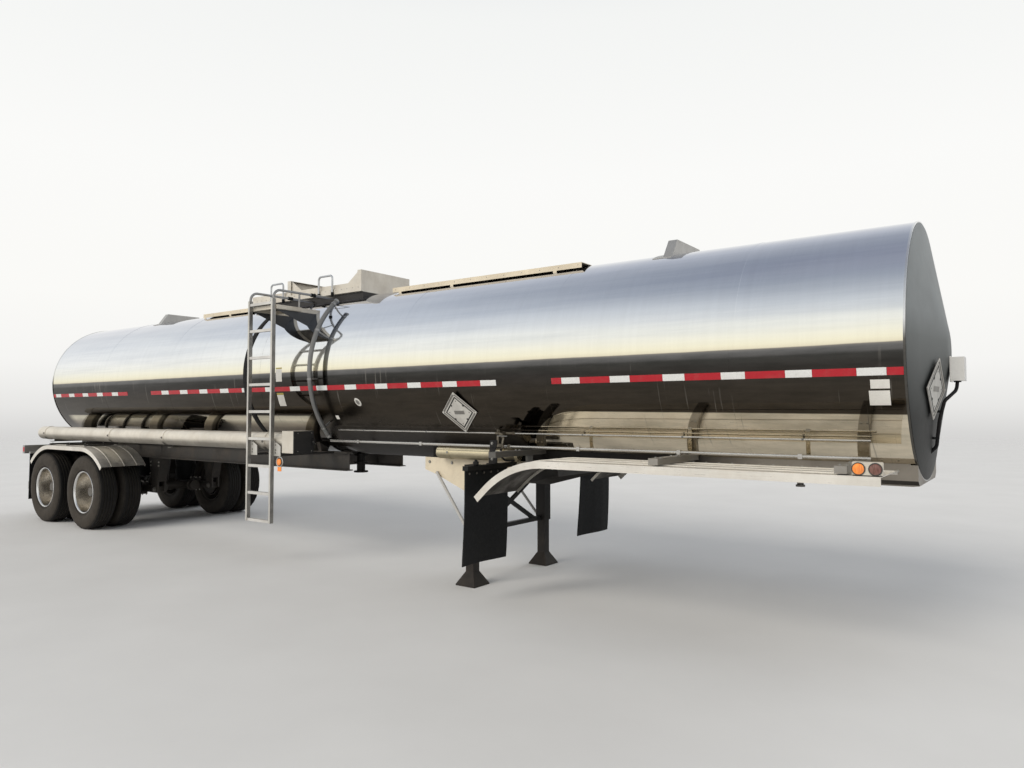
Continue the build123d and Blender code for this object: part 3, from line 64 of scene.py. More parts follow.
class Tree:
    """A material's node tree with short calls for the nodes used here."""

    def __init__(self, name):
        self.material = bpy.data.materials.new(name)
        self.material.use_nodes = True
        self.nodes = self.material.node_tree.nodes
        self.links = self.material.node_tree.links
        self.shader = self.nodes["Principled BSDF"]
        self.coord = self.nodes.new("ShaderNodeTexCoord").outputs["Object"]

    def link(self, value, socket):
        if isinstance(value, bpy.types.NodeSocket):
            self.links.new(value, socket)
        else:
            socket.default_value = value

    def scaled(self, scale):
        node = self.nodes.new("ShaderNodeMapping")
        node.inputs["Scale"].default_value = scale
        self.links.new(self.coord, node.inputs["Vector"])
        return node.outputs["Vector"]

    def noise(self, scale, stretch=(1, 1, 1), detail=4, rough=0.55):
        node = self.nodes.new("ShaderNodeTexNoise")
        node.inputs["Scale"].default_value = scale
        node.inputs["Detail"].default_value = detail
        node.inputs["Roughness"].default_value = rough
        self.links.new(self.scaled(stretch), node.inputs["Vector"])
        return node.outputs["Fac"]

    def cells(self, scale, feature="F1"):
        node = self.nodes.new("ShaderNodeTexVoronoi")
        node.feature = feature
        node.inputs["Scale"].default_value = scale
        self.links.new(self.scaled((1, 1, 1)), node.inputs["Vector"])
        return node.outputs["Distance"]

    def part(self, vector, which):
        node = self.nodes.new("ShaderNodeSeparateXYZ")
        self.links.new(vector, node.inputs[0])
        return node.outputs[which]

    def axis(self, which):
        return self.part(self.coord, which)

    def facing(self, which):
        """How far the surface faces along an axis of the frame."""
        return self.part(self.nodes.new("ShaderNodeNewGeometry").outputs["True Normal"], which)

    def spread(self, value, low, high, to_low=0.0, to_high=1.0):
        node = self.nodes.new("ShaderNodeMapRange")
        self.link(value, node.inputs["Value"])
        for name, number in (("From Min", low), ("From Max", high), ("To Min", to_low), ("To Max", to_high)):
            node.inputs[name].default_value = number
        return node.outputs["Result"]

    def math(self, kind, a, b):
        node = self.nodes.new("ShaderNodeMath")
        node.operation = kind
        self.link(a, node.inputs[0])
        self.link(b, node.inputs[1])
        return node.outputs[0]

    def times(self, a, b):
        return self.math("MULTIPLY", a, b)

    def plus(self, a, b):
        return self.math("ADD", a, b)

    def mix(self, factor, a, b, kind="MIX"):
        node = self.nodes.new("ShaderNodeMix")
        node.data_type = "RGBA"
        node.blend_type = kind
        self.link(factor, node.inputs["Factor"])
        self.link(a if isinstance(a, bpy.types.NodeSocket) else (*a, 1), node.inputs["A"])
        self.link(b if isinstance(b, bpy.types.NodeSocket) else (*b, 1), node.inputs["B"])
        return node.outputs["Result"]

    def tint(self, factor, colour, by):
        """The colour, multiplied by another one as far as the factor says."""
        return self.mix(factor, colour, self.mix(1.0, colour, by, "MULTIPLY"))

    def ramp(self, value, stops):
        node = self.nodes.new("ShaderNodeValToRGB")
        fill_ramp(node.color_ramp, stops)
        self.link(value, node.inputs["Fac"])
        return node.outputs["Color"]

    def bump(self, height, strength, distance):
        node = self.nodes.new("ShaderNodeBump")
        node.inputs["Strength"].default_value = strength
        node.inputs["Distance"].default_value = distance
        self.link(height, node.inputs["Height"])
        self.links.new(node.outputs["Normal"], self.shader.inputs["Normal"])

    def finish(self, colour, rough, metal=0.0, **sockets):
        self.link(colour, self.shader.inputs["Base Color"])
        self.link(rough, self.shader.inputs["Roughness"])
        self.link(metal, self.shader.inputs["Metallic"])
        for name, value in sockets.items():
            self.shader.inputs[name.replace("_", " ")].default_value = value
        return self.material


def worn(name, base, metal=0.0, rough=(0.35, 0.55), grain=60, stretch=(1, 1, 1), dust=(0.3, 0.25, 0.2),
         dusty=0.35, low_dust=0.0, speck=0.0, relief=0.0004, grime=0.0, others=(), faces=None, **sockets):
    """A surface with colour drift, grain, dust in patches, more dust low down, and fine relief.

    grime darkens and dulls what faces down, as painted shade under things. faces is (axis, amount,
    colour, low, high), for what faces either way along an axis, from low to high. others are paints (axis,
    low, high, colour) that take over from low to high along an axis, or with "|" before it, by the distance
    from its zero.
    """
    t = Tree(name)
    colour = t.mix(t.spread(t.noise(2.3, detail=5), 0.35, 0.65), base, shade(base, 0.8))
    fine = t.noise(grain, stretch, detail=6, rough=0.7)
    colour = t.mix(t.spread(fine, 0.3, 0.75, 0.0, 0.3), colour, shade(base, 1.25))
    patch = t.spread(t.noise(5.5, (1, 1, 0.6), detail=8, rough=0.68), 0.45, 0.75, 0.0, dusty)
    if low_dust:
        low = t.times(t.spread(t.axis("Z"), 1.05, 0.15, 0.0, low_dust),
                      t.spread(t.noise(9, detail=7), 0.3, 0.62, 0.35, 1.0))
        patch = t.math("MAXIMUM", patch, low)
    colour = t.mix(patch, colour, dust)
    if speck:
        colour = t.mix(t.spread(t.cells(38), 0.02, 0.11, speck, 0.0), colour, shade(dust, 0.45))
    if faces:
        along, amount, paint, start, end = faces
        sides = t.times(t.spread(t.math("ABSOLUTE", t.facing(along), 0.0), start, end, 0.0, amount),
                        t.spread(t.noise(11, detail=7), 0.3, 0.7, 0.6, 1.0))
        colour = t.mix(sides, colour, paint)
    for along, start, end, paint in others:
        place = t.axis(along[-1])
        if along[0] == "|":
            place = t.math("ABSOLUTE", place, 0.0)
        paint = t.mix(t.spread(fine, 0.3, 0.75, 0.0, 0.4), paint, shade(paint, 1.6, 0.01))
        colour = t.mix(t.spread(place, start, end), colour, paint)
    # Painted shade under things: what faces down turns near-black and rougher
    if grime:
        below = t.times(t.spread(t.facing("Z"), -0.05, -0.45, 0.0, grime),
                        t.spread(t.noise(6, detail=6), 0.25, 0.6, 0.8, 1.0))
        colour = t.mix(below, colour, (0.03, 0.026, 0.022))
        patch = t.math("MAXIMUM", patch, t.times(below, 2.2))
    t.bump(fine, 0.5, relief)
    return t.finish(colour, t.plus(t.spread(fine, 0.3, 0.7, *rough), t.times(patch, 0.25)), metal, **sockets)


def jacket_material():
    """Polished stainless sheet whose colour holds a painted reflection: a painted horizon and sky above the
    middle, and below it painted dark ground, tinted as brown road dirt.

    Heights run from 0 at the tank's lowest line to 1 at its top. Behind the front fenders and behind the hose
    tube the colour holds a painted reflection of them, lighter than the ground's. Mud lies on the underside
    from x 0.30 to 3.02.
    """
    t = Tree("polished_jacket")
    x = t.axis("X")
    height = t.spread(t.axis("Z"), TANK_Z - TANK_R, TANK_Z + TANK_R)

    def uneven(scale, stretch, detail, rough=0.55):
        """The height with its lines a little ragged."""
        return t.plus(height, t.spread(t.noise(scale, stretch, detail, rough), 0.3, 0.7, -0.002, 0.002))

    def window(value, rise, full, fall, gone):
        return t.times(t.spread(value, rise, full), t.spread(value, fall, gone, 1.0, 0.0))

    ragged = uneven(1.3, (0.6, 2, 2), 6, 0.65)
    lifted = uneven(1.1, (0.5, 2, 2), 5)
    # Painted reflection by height: dark brownish ground below the middle, a dark line and a bright horizon at
    # it, the sky above
    painted_reflection_and_dirt = t.ramp(ragged, (
        (0.0, (0.06, 0.05, 0.04)), (0.3, (0.07, 0.058, 0.045)), (0.36, (0.07, 0.059, 0.047)),
        (0.43, (0.06, 0.054, 0.049)), (0.468, (0.08, 0.078, 0.072)), (0.476, (0.15, 0.146, 0.142)),
        (0.494, (0.175, 0.172, 0.17)), (0.5, (0.26, 0.24, 0.22)), (0.504, (0.86, 0.79, 0.6)),
        (0.52, (0.95, 0.9, 0.7)), (0.545, (0.95, 0.92, 0.77)), (0.585, (0.93, 0.925, 0.86)),
        (0.64, (0.9, 0.91, 0.9)), (0.7, (0.85, 0.87, 0.89)), (0.77, (0.75, 0.78, 0.83)),
        (0.85, (0.68, 0.71, 0.77)), (0.92, (0.62, 0.64, 0.71)), (1.0, (0.6, 0.61, 0.68))))
    bend = t.times(t.math("POWER", t.spread(x, 3.7, 3.05), 2.6), 0.176)
    fender_line = t.math("SUBTRACT", t.spread(x, 3.7, 6.1, 0.266, 0.255), bend)
    under_line = t.spread(t.math("SUBTRACT", fender_line, lifted), -0.002, 0.002)
    # Painted reflection of the front fenders: a light beige patch on the jacket behind them
    fender_reflection = t.times(t.spread(lifted, 0.03, 0.05), window(x, 3.03, 3.06, 6.18, 6.22))
    painted_reflection_and_dirt = t.mix(t.times(under_line, fender_reflection), painted_reflection_and_dirt, (0.84, 0.745, 0.585))
    # Painted reflection of the hose tube: a light band on the jacket behind it, on the right side
    tube_reflection = t.times(window(lifted, 0.12, 0.135, 0.238, 0.244), window(x, -5.85, -5.65, 0.1, 0.22))
    tube_reflection_colours = t.ramp(height, (
        (0.12, (0.08, 0.065, 0.05)), (0.165, (0.2, 0.165, 0.125)), (0.19, (0.46, 0.4, 0.31)),
        (0.216, (0.92, 0.84, 0.66)), (0.238, (0.74, 0.68, 0.54))))
    painted_reflection_and_dirt = t.mix(t.times(tube_reflection, t.spread(t.axis("Y"), -0.05, -0.15)), painted_reflection_and_dirt, tube_reflection_colours)
    # Painted reflection of clouds: bluish-grey patches in the upper half
    cloud_reflection = t.times(t.spread(t.noise(1.5, (0.3, 1, 7), detail=7, rough=0.6), 0.42, 0.66),
                    t.spread(height, 0.51, 0.6))
    painted_reflection_and_dirt = t.tint(t.times(cloud_reflection, 0.55), painted_reflection_and_dirt, (0.8, 0.82, 0.86))
    mottle = t.times(t.spread(t.noise(2.2, (0.9, 1, 6), detail=9, rough=0.7), 0.4, 0.62),
                     t.spread(height, 0.503, 0.49))
    painted_reflection_and_dirt = t.tint(t.times(mottle, 0.55), painted_reflection_and_dirt, (0.55, 0.57, 0.56))
    streak = t.spread(t.noise(1.0, (17, 0.5, 0.5), detail=7, rough=0.7), 0.38, 0.75, 0.0, 0.16)
    painted_reflection_and_dirt = t.tint(streak, painted_reflection_and_dirt, (0.72, 0.71, 0.7))
    scratch = t.times(t.spread(t.noise(1.0, (45, 1.2, 1.2), detail=3), 0.62, 0.68, 0.0, 0.6),
                      t.spread(t.noise(1.4, detail=4), 0.46, 0.56))
    painted_reflection_and_dirt = t.mix(t.times(scratch, t.spread(height, 0.5, 0.47)), painted_reflection_and_dirt, (0.3, 0.28, 0.25))
    splash = t.times(t.spread(t.noise(7, detail=9, rough=0.75), 0.55, 0.76),
                     t.spread(t.axis("Z"), 1.9, 1.2, 0.0, 0.3))
    painted_reflection_and_dirt = t.mix(splash, painted_reflection_and_dirt, (0.12, 0.1, 0.08))
    mud = t.times(t.spread(ragged, 0.19, 0.11), t.spread(x, 3.02, 2.9))
    mud = t.times(mud, t.spread(x, 0.3, 0.55))
    painted_reflection_and_dirt = t.mix(mud, painted_reflection_and_dirt, (0.02, 0.017, 0.014))
    fine = t.noise(90, (0.15, 1, 1), detail=5)
    t.bump(t.plus(t.noise(1.0, (0.55, 1.3, 2.6), detail=2), t.times(fine, 0.003)), 0.5, 0.0055)
    dull = t.times(window(x, 0.3, 0.55, 2.9, 3.05), t.spread(height, 0.46, 0.38, 0.0, 0.2))
    rough = t.plus(t.spread(fine, 0.3, 0.7, 0.03, 0.075), t.times(splash, 0.35))
    rough = t.plus(t.plus(rough, t.times(mud, 0.5)), dull)
    return t.finish(painted_reflection_and_dirt, rough, t.math("SUBTRACT", 1.0, mud))


def tape_material(name, base):
    """Reflective tape: small prism cells behind a clear cover sheet."""
    t = Tree(name)
    cell = t.spread(t.cells(210, feature="DISTANCE_TO_EDGE"), 0.0, 0.12)
    colour = t.mix(cell, shade(base, 0.7), base)
    colour = t.mix(t.spread(t.noise(14, detail=6), 0.5, 0.8, 0.0, 0.15), colour, (0.28, 0.22, 0.18))
    t.bump(cell, 0.3, 0.0003)
    return t.finish(colour, t.spread(t.noise(40), 0.3, 0.7, 0.3, 0.45), Coat_Weight=0.15, Coat_Roughness=0.2)


def lens_material(name, base, glow):
    """Moulded lamp lens with fine ribs."""
    t = Tree(name)
    ribs = t.noise(160, (1, 1, 0.15), detail=1)
    colour = t.mix(t.spread(ribs, 0.35, 0.65), base, shade(base, 1.5, 0.02))
    colour = t.mix(t.spread(t.noise(12, detail=6), 0.5, 0.75, 0.0, 0.25), colour, (0.25, 0.18, 0.13))
    t.bump(ribs, 0.6, 0.0008)
    t.shader.inputs["Emission Color"].default_value = (*base, 1)
    return t.finish(colour, t.spread(ribs, 0.3, 0.7, 0.1, 0.22), Coat_Weight=0.8, Emission_Strength=glow)


# What several finishes share: the brushing's direction, and whole sets of settings
# The amount of painted shade on what faces down, for several finishes
UNDERSIDE_SHADE = 0.9
LENGTHWISE, UPRIGHT = (0.06, 1, 1), (1, 1, 0.06)
DULL = dict(Specular_IOR_Level=0.22)
SHEET = dict(rough=(0.36, 0.52), grain=130, stretch=LENGTHWISE, dust=(0.44, 0.36, 0.27), dusty=0.4,
             speck=0.25, relief=0.0003, grime=UNDERSIDE_SHADE)
TUBE = dict(base=(0.74, 0.69, 0.6), metal=0.5, rough=(0.3, 0.45), grain=120, stretch=(0.05, 1, 1),
            dust=(0.45, 0.38, 0.29), dusty=0.35, speck=0.2, relief=0.0003, grime=0.6)
FENDER = dict(base=(0.86, 0.81, 0.73), metal=0.6, rough=(0.24, 0.4), grain=110, dust=(0.52, 0.44, 0.34),
              dusty=0.28, speck=0.25, relief=0.0003, grime=0.97)
RUBBER = dict(rough=(0.62, 0.85), dusty=0.2, relief=0.0006, **DULL)
ALUMINIUM = dict(metal=0.6, grain=140, dust=(0.36, 0.31, 0.25), dusty=0.3)
M = {
    "jacket": jacket_material(),
    # Below z 2.12 the band's colour turns dark: a painted reflection of the dark ground
    "band": worn("bright_band", (0.82, 0.82, 0.81), 1.0, (0.1, 0.2), 70, dusty=0.12, relief=0.0001,
                 others=(("Z", 2.26, 2.12, (0.1, 0.095, 0.086)),)),
    # The head's colour darkens from z 2.34 down to near-black at 1.62: painted shade on its lower part
    "head": worn("brushed_head", (0.27, 0.288, 0.292), 0.55, (0.5, 0.62), 160, UPRIGHT, (0.25, 0.25, 0.24),
                 0.14, relief=0.0002, others=(("Z", 2.34, 2.16, (0.15, 0.16, 0.158)),
                                              ("Z", 2.18, 1.62, (0.026, 0.027, 0.026)))),
    "sheet": worn("satin_sheet", (0.7, 0.645, 0.545), 0.45, **SHEET),
    "deck": worn("deck_sheet", (0.8, 0.7, 0.53), 0.35,
                 **(SHEET | dict(dust=(0.5, 0.4, 0.27), dusty=0.35, speck=0.2))),
    # Below z 3.05 the spill box is near-black: painted shade under the deck
    "spill": worn("spill_box_sheet", (0.72, 0.67, 0.58), 0.4, **SHEET,
                  others=(("Z", 3.05, 3.044, (0.03, 0.027, 0.025)),)),
    # Below z 2.79 the step platform's brackets are near-black: painted shade under the platform
    "platform": worn("platform_sheet", (0.7, 0.645, 0.545), 0.45, **(SHEET | dict(speck=0)),
                     others=(("Z", 2.79, 2.785, (0.065, 0.066, 0.068)),)),
    "guard": worn("guard_sheet", (0.48, 0.47, 0.45), 0.75, (0.3, 0.45), 90, (1, 1, 0.2), (0.3, 0.27, 0.23),
                  0.35, grime=0.7),
    "tube": worn("hose_tube_sheet", **TUBE),
    "bracket": worn("hose_bracket_sheet", **TUBE, others=(("Z", 1.29, 1.265, (0.15, 0.14, 0.12)),)),
    "fender": worn("fender_sheet", **FENDER, stretch=(0.05, 1, 1)),
    # What faces along X on the rear fenders is darkened: painted shade on their front and back faces
    "rear_fender": worn("rear_fender_sheet", **FENDER, stretch=(1, 0.05, 1),
                        faces=("X", 0.9, (0.15, 0.15, 0.152), 0.35, 0.7)),
    # Painted shade: what faces along X on the ladder is darkened, and every part inward of y -1.2118, nearer
    # the tank, is near-black
    "ladder": worn("ladder_aluminium", (0.66, 0.64, 0.59), **ALUMINIUM, rough=(0.32, 0.48), stretch=UPRIGHT,
                   relief=0.0003, grime=0.5, faces=("X", 0.8, (0.12, 0.115, 0.11), 0.75, 0.95),
                   others=(("Y", -1.2122, -1.2118, (0.045, 0.042, 0.04)),)),
    "tread": worn("tread_aluminium", (0.72, 0.7, 0.66), **ALUMINIUM, rough=(0.34, 0.5), stretch=LENGTHWISE,
                  relief=0.0005, grime=0.6),
    "rail": worn("handrail_steel", (0.36, 0.355, 0.345), 0.85, (0.28, 0.42), 140, dust=(0.24, 0.21, 0.18),
                 dusty=0.3, relief=0.0002),
    "hoop": worn("hoop_steel", (0.58, 0.59, 0.6), 0.95, (0.2, 0.32), 140, dusty=0.2, relief=0.0002),
    "arm": worn("fender_arm_sheet", (0.34, 0.32, 0.285), 0.55, (0.4, 0.56), 90, dust=(0.24, 0.2, 0.16),
                dusty=0.4, grime=UNDERSIDE_SHADE, others=(("X", 3.3, 3.25, (0.12, 0.115, 0.105)),
                                                ("X", 2.98, 2.95, (0.014, 0.014, 0.014)))),
    # The frame steel's near-black colour is painted shade under the tank, with dust on it
    "steel": worn("frame_steel_painted_shade", (0.06, 0.055, 0.05), 0.25, (0.42, 0.62), 70, dust=(0.14, 0.115, 0.09),
                  dusty=0.5, speck=0.3, grime=0.8),
    "coupler": worn("coupler_steel", (0.26, 0.235, 0.2), 0.6, (0.34, 0.5), 80, dust=(0.2, 0.165, 0.13),
                    dusty=0.45, grime=UNDERSIDE_SHADE, others=(("X", 5.1, 4.55, (0.012, 0.011, 0.01)),),
                    Specular_IOR_Level=0.25),
    # Painted shade: the landing frame turns near-black from x 2.86 to 3.0 on forward, under the fenders, and
    # inward of |y| 0.555
    "saddle": worn("landing_sheet", (0.8, 0.7, 0.53), 0.3, (0.4, 0.58), 60, dust=(0.46, 0.37, 0.27),
                   dusty=0.4, speck=0.3, grime=UNDERSIDE_SHADE, others=(("X", 2.86, 3.0, (0.016, 0.015, 0.014)),
                                                              ("|Y", 0.556, 0.555, (0.03, 0.027, 0.023)))),
    "reservoir": worn("polished_reservoir", (0.84, 0.73, 0.5), 0.95, (0.14, 0.24), 110, (0.2, 1, 1),
                      (0.42, 0.34, 0.24), 0.25, relief=0.0002, grime=0.6),
    "black": worn("black_paint", (0.012, 0.012, 0.012), 0.0, (0.42, 0.6), 90, dust=(0.09, 0.073, 0.058),
                  dusty=0.22, low_dust=0.35, speck=0.2, **DULL),
    "brace": worn("brace_paint", (0.014, 0.014, 0.014), 0.0, (0.4, 0.58), 90, dust=(0.1, 0.083, 0.066),
                  dusty=0.28, speck=0.2, others=(("X", 2.322, 2.314, (0.4, 0.39, 0.37)),), **DULL),
    "gear": worn("suspension_paint", (0.022, 0.021, 0.02), 0.1, (0.45, 0.65), dust=(0.12, 0.097, 0.076),
                 dusty=0.45, low_dust=0.4, speck=0.35, relief=0.0008, grime=0.85, **DULL),
    "lip": worn("polished_lip", (0.84, 0.83, 0.81), 1.0, (0.12, 0.24), 130, dust=(0.34, 0.29, 0.235),
                dusty=0.25, relief=0.0002),
    "rim": worn("satin_rim", (0.9, 0.85, 0.77), 1.0, (0.2, 0.32), 130, dust=(0.5, 0.42, 0.33), dusty=0.22,
                low_dust=0.15, relief=0.0003),
    # The inner rims are dark from dirt and from painted shade between the twin tyres
    "inner_rim": worn("inner_rim_dirt_and_painted_shade", (0.075, 0.068, 0.06), 0.3, (0.5, 0.7), 70, dust=(0.12, 0.098, 0.078),
                      dusty=0.55, relief=0.0006, **DULL),
    "hub": worn("hub_iron", (0.2, 0.19, 0.175), 0.6, (0.45, 0.62), 70, dust=(0.17, 0.14, 0.11), dusty=0.6,
                low_dust=0.25),
    "bolt": worn("zinc_bolts", (0.42, 0.41, 0.38), 0.9, (0.35, 0.5), 150),
    "pipe": worn("bright_pipe", (0.62, 0.6, 0.56), 0.95, (0.18, 0.3), 120, dusty=0.25),
    "tyre": worn("tyre_rubber", (0.011, 0.0105, 0.01), 0.0, (0.66, 0.88), 45, dust=(0.07, 0.058, 0.047),
                 dusty=0.15, relief=0.0006, faces=("Y", 0.66, (0.082, 0.07, 0.057), 0.75, 0.95), **DULL),
    "rubber": worn("black_rubber", (0.009, 0.01, 0.011), **RUBBER, grain=45, dust=(0.04, 0.036, 0.032),
                   low_dust=0.25),
    "belt": worn("dark_band", (0.011, 0.011, 0.011), **RUBBER, grain=45, dust=(0.04, 0.034, 0.028)),
    "hose": worn("grey_hose", (0.2, 0.2, 0.195), 0.45, (0.28, 0.42), 90, dust=(0.15, 0.13, 0.11), dusty=0.25),
    "cable": worn("black_cable", (0.012, 0.012, 0.013), **RUBBER, grain=90, dust=(0.07, 0.06, 0.05)),
    "brass": worn("valve_metal", (0.25, 0.22, 0.17), 0.85, (0.32, 0.48), 100, dust=(0.12, 0.1, 0.08),
                  dusty=0.45),
    "white": worn("white_plastic", (0.74, 0.73, 0.7), 0.0, (0.3, 0.42), dusty=0.18, relief=0.0002),
    "label": worn("blank_label", (0.74, 0.72, 0.67), 0.0, (0.35, 0.45), 90, dust=(0.45, 0.4, 0.34), dusty=0.3,
                  relief=0.0001),
    "plate": worn("blank_sign", (0.66, 0.64, 0.59), 0.15, (0.35, 0.5), dust=(0.2, 0.18, 0.16), dusty=0.55,
                  speck=0.9),
    "plate_frame": worn("sign_frame", (0.3, 0.29, 0.27), 0.8, (0.35, 0.5), 90, dusty=0.45),
    "dark_plate": worn("shaded_face", (0.035, 0.034, 0.033), 0.2, (0.45, 0.6), 90, dust=(0.08, 0.07, 0.06),
                       dusty=0.3, **DULL),
    "yellow": worn("yellow_label", (0.4, 0.33, 0.07), 0.0, (0.4, 0.5), 90, dusty=0.3),
    "red_tape": tape_material("tape_red", (0.44, 0.006, 0.016)),
    "white_tape": tape_material("tape_white", (0.76, 0.76, 0.74)),
    "red_lens": lens_material("lens_red", (0.45, 0.012, 0.008), 0.02),
    "dark_lens": lens_material("lens_dark_red", (0.1, 0.03, 0.018), 0.0),
    "amber_lens": lens_material("lens_amber", (0.8, 0.2, 0.015), 0.05),
}


# Geometry helpers
def placed(origin, z_dir, x_dir=None):
    """A local frame with its z along z_dir and its x near x_dir."""
    z = Vector(z_dir).normalized()
    x = Vector(x_dir) if x_dir is not None else z.orthogonal()
    x = (x - z * x.dot(z)).normalized()
    matrix = Matrix((x, z.cross(x), z)).transposed().to_4x4()
    matrix.translation = Vector(origin)
    return matrix


class Shape:
    """Collects many small closed solids into one mesh, each with the name of its look in M."""

    def __init__(self):
        self.materials, self.verts, self.faces, self.index = [], [], [], []

    def slot_of(self, material):
        if material not in self.materials:
            self.materials.append(material)
        return self.materials.index(material)

    def add(self, verts, faces, material, place=None):
        base = len(self.verts)
        self.verts += [tuple(place @ Vector(v)) if place else tuple(v) for v in verts]
        self.faces += [tuple(base + i for i in face) for face in faces]
        self.index += [self.slot_of(material)] * len(faces)

    def box(self, low, high, material, place=None, edge=0.0015):
        """A box with chamfered edges, its corners given in any order."""
        mid = [(a + b) / 2 for a, b in zip(low, high)]
        half = [abs(b - a) / 2 for a, b in zip(low, high)]
        cut = min(edge, *(h * 0.45 for h in half))
        signs = list(product((-1, 1), repeat=3))
        verts, slots = [], {}
        for sign in signs:
            for axis in range(3):
                slots[sign, axis] = len(verts)
                verts.append(tuple(m + s * (h if k == axis else h - cut)
                                   for k, (m, s, h) in enumerate(zip(mid, sign, half))))

        def corner(axis, *along):
            """The corner with these signs along an axis and the two that follow it."""
            return tuple(along[(k - axis) % 3] for k in range(3))

        faces = []
        for axis in range(3):
            u, v = (axis + 1) % 3, (axis + 2) % 3
            for s in (-1, 1):
                loop = ((-1, -1), (1, -1), (1, 1), (-1, 1))
                faces.append([slots[corner(axis, s, a, b), axis] for a, b in loop][::s])
            for a, b in product((-1, 1), repeat=2):
                start, end = corner(axis, -1, a, b), corner(axis, 1, a, b)
                faces.append([slots[start, u], slots[end, u], slots[end, v], slots[start, v]][::-a * b])
        for sign in signs:
            faces.append([slots[sign, axis] for axis in range(3)][::math.prod(sign)])
        self.add(verts, faces, material, place)

    def turned(self, profile, material, place=None, count=48, closed=False, radius_at=None):
        """A turned solid from (radius, height) points about its local z."""
        verts, rings = [], []
        for k, (radius, height) in enumerate(profile):
            if radius < 1e-6:
                rings.append([len(verts)] * count)
                verts.append((0, 0, height))
                continue
            rings.append([len(verts) + i for i in range(count)])
            for i in range(count):
                turn = 2 * math.pi * i / count
                r = radius_at(radius, k, i) if radius_at else radius
                verts.append((r * math.cos(turn), r * math.sin(turn), height))
        faces = []
        pairs = list(zip(rings, rings[1:]))
        if closed:
            pairs.append((rings[-1], rings[0]))
        for low, high in pairs:
            for i in range(count):
                j = (i + 1) % count
                face = []
                for vertex in (low[i], low[j], high[j], high[i]):
                    if vertex not in face:
                        face.append(vertex)
                if len(face) > 2:
                    faces.append(face)
        self.add(verts, faces, material, place)

    def rod(self, start, end, radius, material, count=18, edge=0.001):
        along = Vector(end) - Vector(start)
        edge = min(edge, radius * 0.4, along.length * 0.3)
        self.turned(((0, 0), (radius - edge, 0), (radius, edge), (radius, along.length - edge),
                     (radius - edge, along.length), (0, along.length)), material, placed(start, along), count)

    def bolt(self, at, out, size, material="bolt"):
        """A washer with a hexagon head on it; size is half the width over its corners."""
        place = placed(at, out)
        self.turned(((0, -0.001), (size * 1.35, -0.001), (size * 1.35, size * 0.22), (0, size * 0.22)),
                    material, place, 16)
        self.turned(((0, 0), (size, 0), (size, size * 0.75), (size * 0.82, size * 0.92), (0, size * 0.92)),
                    material, place, 6)

    def rivet(self, at, out, size):
        dome = ((0, -0.001), (size, -0.001), (size * 0.92, size * 0.28), (size * 0.55, size * 0.5),
                (0, size * 0.55))
        self.turned(dome, "bolt", placed(at, out), 10)

    def pipe(self, points, radius, material, bend=0.05, count=14):
        """A round pipe along straight runs with rounded corners."""
        path = rounded(points, bend)
        normal = (path[1] - path[0]).orthogonal().normalized()
        verts, faces = [], []
        for k, point in enumerate(path):
            ahead = (path[min(k + 1, len(path) - 1)] - path[max(k - 1, 0)]).normalized()
            normal = (normal - ahead * normal.dot(ahead)).normalized()
            side = ahead.cross(normal)
            for i in range(count):
                turn = 2 * math.pi * i / count
                verts.append(point + (normal * math.cos(turn) + side * math.sin(turn)) * radius)
        for k in range(len(path) - 1):
            for i in range(count):
                j = (i + 1) % count
                a = k * count
                faces.append((a + i, a + j, a + count + j, a + count + i))
        last = (len(path) - 1) * count
        faces.append(tuple(range(count))[::-1])
        faces.append(tuple(last + i for i in range(count)))
        self.add(verts, faces, material)

    def prism(self, outline, depth, material, place=None):
        """A flat plate from an outline of (x, y) points, its thickness along the local z."""
        n = len(outline)
        verts = [(x, y, 0) for x, y in outline] + [(x, y, depth) for x, y in outline]
        faces = [tuple(range(n))[::-1], tuple(n + i for i in range(n))]
        faces += [(i, (i + 1) % n, n + (i + 1) % n, n + i) for i in range(n)]
        self.add(verts, faces, material, place)

    def mesh(self, name):
        mesh = bpy.data.meshes.new(name)
        mesh.from_pydata(self.verts, [], self.faces)
        for material in self.materials:
            mesh.materials.append(M[material])
        mesh.polygons.foreach_set("material_index", self.index)
        mesh.polygons.foreach_set("use_smooth", [True] * len(mesh.polygons))
        mesh.update()
        return mesh

    def done(self, name, body="trailer", replaces=(), sharp=32):
        mesh = self.mesh(name)
        mesh.set_sharp_from_angle(angle=math.radians(sharp))
        settle(in_scene(name, mesh), body, replaces)


def in_scene(name, data):
    """A new object of the scene with this data."""
    thing = bpy.data.objects.new(name, data)
    bpy.context.scene.collection.objects.link(thing)
    return thing


def settle(piece, body, replaces=()):
    if replaces:
        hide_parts(*replaces)
    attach(piece, body)


def around(count, radius, first=0.0):
    """Points (x, y) spaced evenly round a circle, from an angle in degrees."""
    turns = [math.radians(first + 360 / count * k) for k in range(count)]
    return [(radius * math.cos(turn), radius * math.sin(turn)) for turn in turns]


def rounded(points, bend):
    """The path's points, with each corner turned into an arc."""
    steps = 6
    points = [Vector(p) for p in points]
    path = [points[0]]
    for before, corner, after in zip(points, points[1:], points[2:]):
        a, b = before - corner, after - corner
        turn = a.angle(b)
        if turn > math.radians(178):
            path.append(corner)
            continue
        reach = min(bend / math.tan(turn / 2), a.length * 0.49, b.length * 0.49)
        a, b = a.normalized(), b.normalized()
        radius = reach * math.tan(turn / 2)
        centre = corner + (a + b).normalized() * (radius / math.sin(turn / 2))
        start, end = (corner + a * reach - centre).normalized(), (corner + b * reach - centre).normalized()
        for i in range(steps + 1):
            path.append(centre + start.slerp(end, i / steps) * radius)
    path.append(points[-1])
    return path


def along_tank(x, way=1):
    """The tank's own axis at x, as a local z."""
    return placed((x, 0, TANK_Z), (way, 0, 0))


